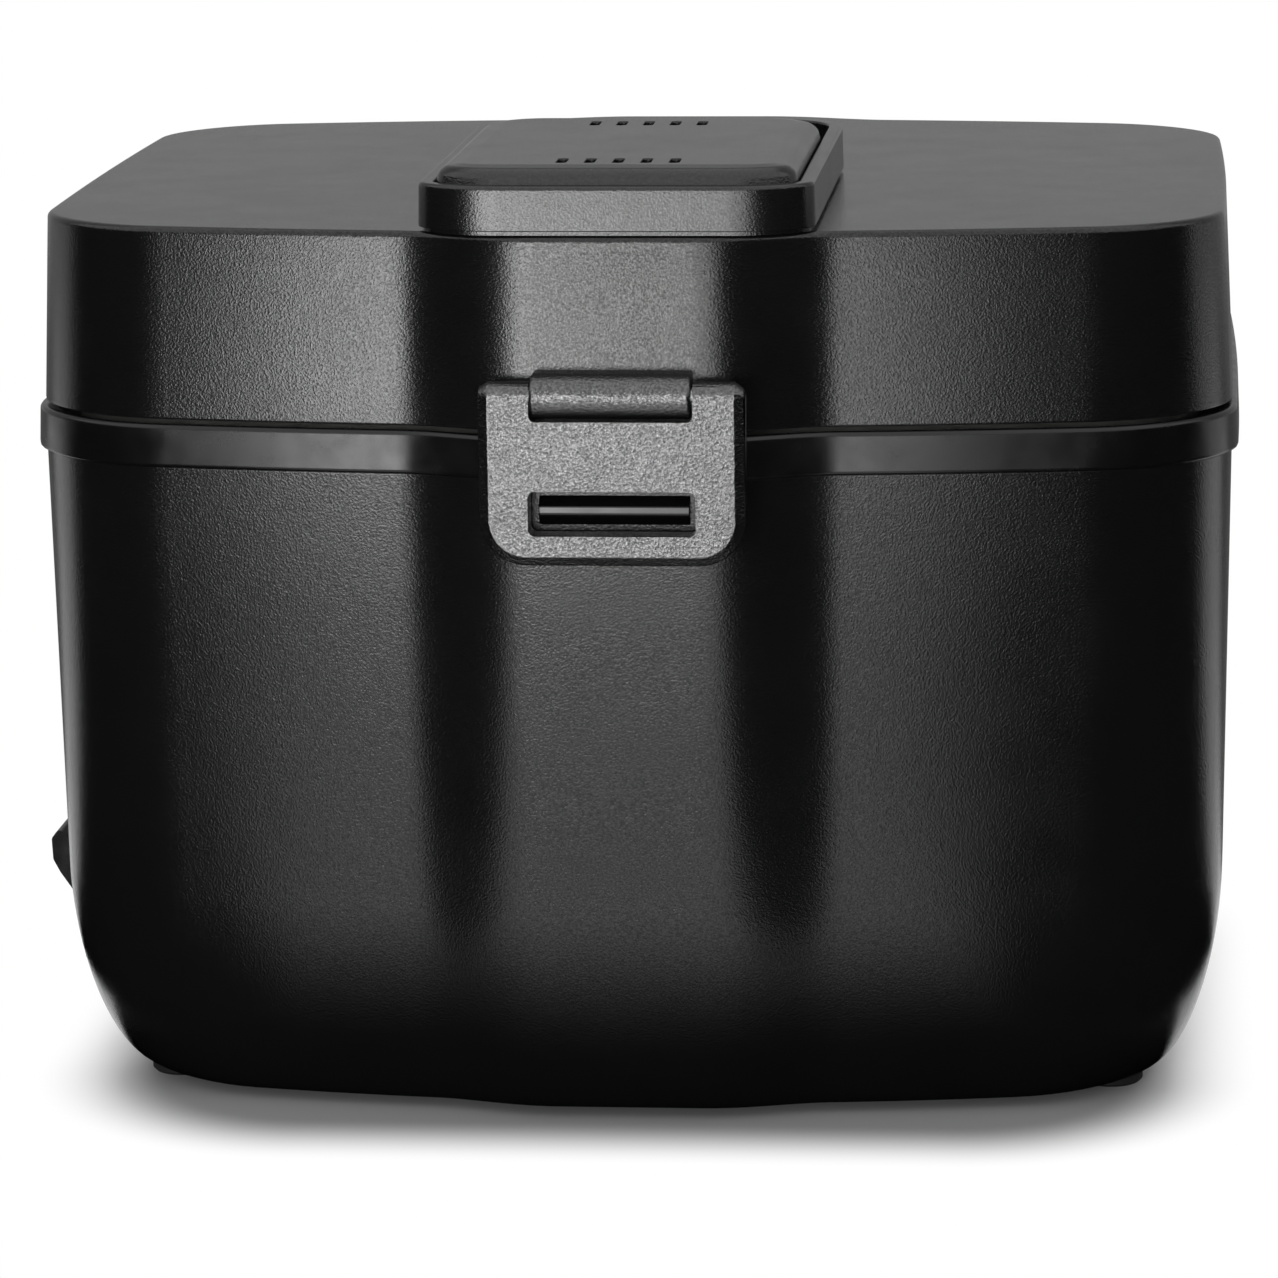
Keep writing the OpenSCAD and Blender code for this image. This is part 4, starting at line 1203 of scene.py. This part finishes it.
class LUNCHBOX_OT_carried(bpy.types.Operator):
    """Gives the CAD nodes that keep their shape their finishes"""

    bl_idname = "lunchbox.carried"
    bl_label = "Inner Pieces"

    def execute(self, context):
        """Finishes the heater, the socket, the base and the small parts."""
        carried(
            "base_plate", "feet", "base_screws", "inlet_socket", "inlet_pins", "heater_plate",
            "heating_element", "heater_clamp", "clamp_screws", "thermostat", "thermal_fuse",
            "lead_wires", "steam_rack", "rack_feet", "lid_screws", "steam_duct", "latch_pin",
        )
        return {"FINISHED"}


# ---- stage ----

# The camera's place in millimetres and its turns in radians
CAMERA_AT = (105.08, -1098.64, 314.73)
CAMERA_YAW, CAMERA_PITCH, CAMERA_ROLL = 0.07607, 0.18413, -0.0096
CAMERA_SENSOR = 36.0
CAMERA_FOCAL = 5390.42 / 1278 * CAMERA_SENSOR
CAMERA_SHIFT = (-0.1, -0.12)
# The rest of the stage is in metres. The cards stand on a circle about the object
CARD_CIRCLE, CARD_HEIGHT, REAR_CARD_HEIGHT = 1.3, 0.45, 2.2
# Heights of the cards that lie on the floor
FLOOR_CARD_Z, FOOT_CARD_Z = 0.0006, 0.0004


def sheet_of(name, corners):
    """A flat four-cornered sheet in metres."""
    mesh = bpy.data.meshes.new(name)
    mesh.from_pydata(corners, [], [(0, 1, 2, 3)])
    obj = link(bpy.data.objects.new(name, mesh))
    return obj


def card(name, corners, material):
    """A sheet that shows in reflections alone."""
    obj = sheet_of(name, corners)
    obj.data.materials.append(material)
    obj.visible_camera = obj.visible_diffuse = obj.visible_shadow = False
    obj.visible_transmission = obj.visible_volume_scatter = False


def card_finish(name, size_mm, low, high, kind):
    """A card's material: a weave between two greys that is lit, or that glows by itself."""
    material = bpy.data.materials.new(name)
    tree = emptied(material)
    place = add(tree, "ShaderNodeTexCoord").outputs["Object"]
    weave = add(
        tree, "ShaderNodeTexNoise", {"Scale": 1 / (size_mm * MM), "Detail": 1.0},
        {"Vector": place},
    )
    tone = add(
        tree, "ShaderNodeMix",
        {"data_type": "RGBA", 6: (low, low, low, 1), 7: (high, high, high, 1)},
        {0: weave.outputs["Fac"]},
    )
    surface = add(tree, kind, None, {"Color": tone.outputs[2]})
    add(tree, "ShaderNodeOutputMaterial", None, {"Surface": surface.outputs[0]})
    return material


def seen(tree):
    """1 for camera, glossy and transmission rays, and 0 for the rest."""
    path = add(tree, "ShaderNodeLightPath")
    value = path.outputs["Is Camera Ray"]
    for ray in ("Is Glossy Ray", "Is Transmission Ray"):
        value = add(
            tree, "ShaderNodeMath", {"operation": "MAXIMUM"}, {0: value, 1: path.outputs[ray]}
        ).outputs["Value"]
    return value


def polar(azimuth, radius, z):
    """A point at an azimuth in degrees from the front, to the right."""
    a = math.radians(azimuth)
    return (radius * math.sin(a), -radius * math.cos(a), z)


def slices(start, end, count=6):
    """Pairs of azimuths that share out the arc from start to end."""
    stops = spaced(start, end, count) + [end]
    return list(zip(stops, stops[1:]))


def area_light(name, at, towards, size, power, glossy=True):
    """A soft area light, out of the camera's sight."""
    light = bpy.data.lights.new(name, "AREA")
    light.shape, light.size, light.size_y, light.energy = "RECTANGLE", size[0], size[1], power
    obj = bpy.data.objects.new(name, light)
    obj.location = at
    obj.rotation_mode = "QUATERNION"
    obj.rotation_quaternion = (Vector(towards) - Vector(at)).to_track_quat("-Z", "Y")
    obj.visible_camera = False
    obj.visible_glossy = glossy
    link(obj)


class LUNCHBOX_OT_stage(bpy.types.Operator):
    """Makes the floor, the lights, the reflection cards and the camera"""

    bl_idname = "lunchbox.stage"
    bl_label = "Stage"

    def execute(self, context):
        """Sets up the studio."""
        self.floor()
        self.world(context.scene)
        self.lights()
        self.cards()
        self.camera(context.scene)
        context.scene.view_settings.view_transform = "Standard"
        return {"FINISHED"}

    def clear_of_foot(self, tree, start, end):
        """A soft step from 0 to 1 on the floor, between two distances from the body's foot."""
        margin = 26
        box = Vector((BODY_HIGH.x - 28 - margin, BODY_HIGH.y - 15 - margin, 0)) * MM
        vector = add(tree, "ShaderNodeTexCoord").outputs["Object"]
        for settings in (
            {"operation": "ABSOLUTE"}, {"operation": "SUBTRACT", 1: box},
            {"operation": "MAXIMUM", 1: (0, 0, 0)},
        ):
            vector = add(tree, "ShaderNodeVectorMath", settings, {0: vector}).outputs["Vector"]
        gap = add(tree, "ShaderNodeVectorMath", {"operation": "LENGTH"}, {0: vector})
        return add(
            tree, "ShaderNodeMapRange",
            {"interpolation_type": "SMOOTHSTEP", "From Min": margin * MM + start,
             "From Max": margin * MM + end},
            {"Value": gap.outputs["Value"]},
        ).outputs["Result"]

    def floor(self):
        """A pale floor that takes the shadow near the object and fades to white further out."""
        floor = sheet_of("floor", [(-4, -4, 0), (4, -4, 0), (4, 4, 0), (-4, 4, 0)])
        material = bpy.data.materials.new("painted_floor")
        tree = emptied(material)
        place = add(tree, "ShaderNodeTexCoord").outputs["Object"]
        grain = add(
            tree, "ShaderNodeTexNoise", {"Scale": 1 / (3 * MM), "Detail": 2.0}, {"Vector": place}
        )
        tone = add(
            tree, "ShaderNodeMix",
            {"data_type": "RGBA", 6: lighter(tint("floor"), 0.99), 7: tint("floor")},
            {0: grain.outputs["Fac"]},
        )
        paint = add(
            tree, "ShaderNodeBsdfPrincipled", {"Roughness": 0.6, "Specular IOR Level": 0.2},
            {"Base Color": tone.outputs[2]},
        )
        glow = add(tree, "ShaderNodeEmission", {"Color": (1, 1, 1, 1), "Strength": 1.0})
        share = add(
            tree, "ShaderNodeMath", {"operation": "MULTIPLY"},
            {0: seen(tree), 1: self.clear_of_foot(tree, 0.007, 0.034)},
        )
        mix = add(
            tree, "ShaderNodeMixShader", None,
            {0: share.outputs["Value"], 1: paint.outputs["BSDF"], 2: glow.outputs["Emission"]},
        )
        add(tree, "ShaderNodeOutputMaterial", None, {"Surface": mix.outputs["Shader"]})
        floor.data.materials.append(material)

    def world(self, scene):
        """White to the camera and to reflections, and a dimmer fill for the rest."""
        scene.world = bpy.data.worlds.new("studio")
        tree = emptied(scene.world)
        strength = add(
            tree, "ShaderNodeMapRange", {"To Min": 0.25, "To Max": 1.0}, {"Value": seen(tree)}
        )
        back = add(
            tree, "ShaderNodeBackground", {"Color": (1, 1, 1, 1)},
            {"Strength": strength.outputs["Result"]},
        )
        add(tree, "ShaderNodeOutputWorld", None, {"Surface": back.outputs["Background"]})

    def lights(self):
        """A wide light above the back, and two low panels in front."""
        area_light("top_light", (0.0, 0.75, 1.5), (0, 0, 0), (1.4, 1.0), 24.0, glossy=False)
        for name, x, width, power in (
            ("key_panel", -0.2025, 0.285, 1.16), ("side_panel", 0.05, 0.22, 0.37)
        ):
            area_light(name, (x, -0.75, 0.1), (x, 0, 0.1), (width, 0.18), power)

    def cards(self):
        """Cards that keep the ramps, the corners and the bottom dark, and the rims soft."""
        black = card_finish("flock_card", 2, 0.001, 0.004, "ShaderNodeBsdfDiffuse")
        grey = card_finish("grey_card", 4, 0.36, 0.38, "ShaderNodeEmission")
        dim = card_finish("dim_grey_card", 4, 0.155, 0.165, "ShaderNodeEmission")
        for name, start, end, top, finish in (
            ("left_card", -29, -98, CARD_HEIGHT, black),
            ("right_card", 15, 94, CARD_HEIGHT, black),
            ("rear_card", 98, 262, REAR_CARD_HEIGHT, grey),
        ):
            for a, b in slices(start, end):
                low_a, low_b = polar(a, CARD_CIRCLE, 0), polar(b, CARD_CIRCLE, 0)
                top_a, top_b = polar(a, CARD_CIRCLE, top), polar(b, CARD_CIRCLE, top)
                card(f"{name}_{round(a)}", [low_a, low_b, top_b, top_a], finish)
        # The front ones on the floor start further round near the body than further out
        for name, near, far, end, inner, outer, finish in (
            ("left_floor_near", -36, -29.5, -98, 0.14, 0.42, black),
            ("left_floor_far", -29.5, -27, -98, 0.42, CARD_CIRCLE, black),
            ("right_floor_near", 36, 16, 98, 0.14, 0.42, black),
            ("right_floor_far", 16, 15, 98, 0.42, CARD_CIRCLE, black),
            ("left_back_floor", -122, -122, -178, 0.16, CARD_CIRCLE, dim),
            ("right_back_floor", 122, 122, 178, 0.16, CARD_CIRCLE, dim),
        ):
            pairs = zip(slices(near, end), slices(far, end))
            for k, ((a, b), (c, d)) in enumerate(pairs):
                spots = ((a, inner), (b, inner), (d, outer), (c, outer))
                card(f"{name}_{k}", [polar(*spot, FLOOR_CARD_Z) for spot in spots], finish)
        self.foot_card()

    def foot_card(self):
        """A black card on the floor in front of the body, soft at its edge, that keeps the
        rounded bottom dark."""
        material = bpy.data.materials.new("soft_flock_card")
        tree = emptied(material)
        cloth = add(tree, "ShaderNodeBsdfDiffuse", {"Color": (0.002, 0.002, 0.002, 1)})
        clear = add(tree, "ShaderNodeBsdfTransparent")
        mix = add(
            tree, "ShaderNodeMixShader", None,
            {0: self.clear_of_foot(tree, 0.02, 0.14), 1: cloth.outputs["BSDF"],
             2: clear.outputs["BSDF"]},
        )
        add(tree, "ShaderNodeOutputMaterial", None, {"Surface": mix.outputs["Shader"]})
        z = FOOT_CARD_Z
        corners = [(-0.4, -0.4, z), (0.4, -0.4, z), (0.4, -0.05, z), (-0.4, -0.05, z)]
        card("foot_card", corners, material)

    def camera(self, scene):
        """A long lens from the front, a little above and to the right."""
        data = bpy.data.cameras.new("camera")
        data.sensor_width = CAMERA_SENSOR
        data.lens = CAMERA_FOCAL
        data.shift_x, data.shift_y = CAMERA_SHIFT
        data.clip_start, data.clip_end = 0.05, 50
        camera = link(bpy.data.objects.new("camera", data))
        cy, sy = math.cos(CAMERA_YAW), math.sin(CAMERA_YAW)
        cp, sp = math.cos(CAMERA_PITCH), math.sin(CAMERA_PITCH)
        cr, sr = math.cos(CAMERA_ROLL), math.sin(CAMERA_ROLL)
        side = Vector((cy, sy, 0))
        ahead = Vector((-sy * cp, cy * cp, -sp))
        up = Vector((-sy * sp, cy * sp, cp))
        right, above = side * cr + up * sr, up * cr - side * sr
        turn = Matrix((right, above, -ahead)).transposed().to_4x4()
        camera.matrix_world = Matrix.Translation(Vector(CAMERA_AT) * MM) @ turn
        scene.camera = camera


OPERATORS = (
    LUNCHBOX_OT_finishes,
    LUNCHBOX_OT_body,
    LUNCHBOX_OT_collar,
    LUNCHBOX_OT_basin,
    LUNCHBOX_OT_inlet,
    LUNCHBOX_OT_food_boxes,
    LUNCHBOX_OT_lid,
    LUNCHBOX_OT_lid_inside,
    LUNCHBOX_OT_vent,
    LUNCHBOX_OT_latch,
    LUNCHBOX_OT_hinge,
    LUNCHBOX_OT_carried,
    LUNCHBOX_OT_stage,
)


class LUNCHBOX_PT_panel(bpy.types.Panel):
    """Lists the lunch box's sizes, colours and pieces"""

    bl_idname = "LUNCHBOX_PT_panel"
    bl_label = "Lunch Box"
    bl_space_type = "VIEW_3D"
    bl_region_type = "UI"
    bl_category = "Lunch Box"

    def draw(self, context):
        """Draws the properties and the operators' buttons."""
        layout = self.layout
        for group in (context.scene.lunch_box_sizes, context.scene.lunch_box_colours):
            for name in group.__annotations__:
                layout.prop(group, name)
        for operator in OPERATORS:
            layout.operator(operator.bl_idname)


CLASSES = (LunchBoxSizes, LunchBoxColours, *OPERATORS, LUNCHBOX_PT_panel)


def register():
    """Registers the classes and the scene's property groups."""
    for cls in CLASSES:
        bpy.utils.register_class(cls)
    bpy.types.Scene.lunch_box_sizes = PointerProperty(type=LunchBoxSizes)
    bpy.types.Scene.lunch_box_colours = PointerProperty(type=LunchBoxColours)


def unregister():
    """Removes the property groups and the classes."""
    del bpy.types.Scene.lunch_box_colours
    del bpy.types.Scene.lunch_box_sizes
    for cls in reversed(CLASSES):
        bpy.utils.unregister_class(cls)


def main():
    register()
    for operator in OPERATORS:
        group, name = operator.bl_idname.split(".")
        getattr(getattr(bpy.ops, group), name)()


if __name__ == "__main__":
    main()
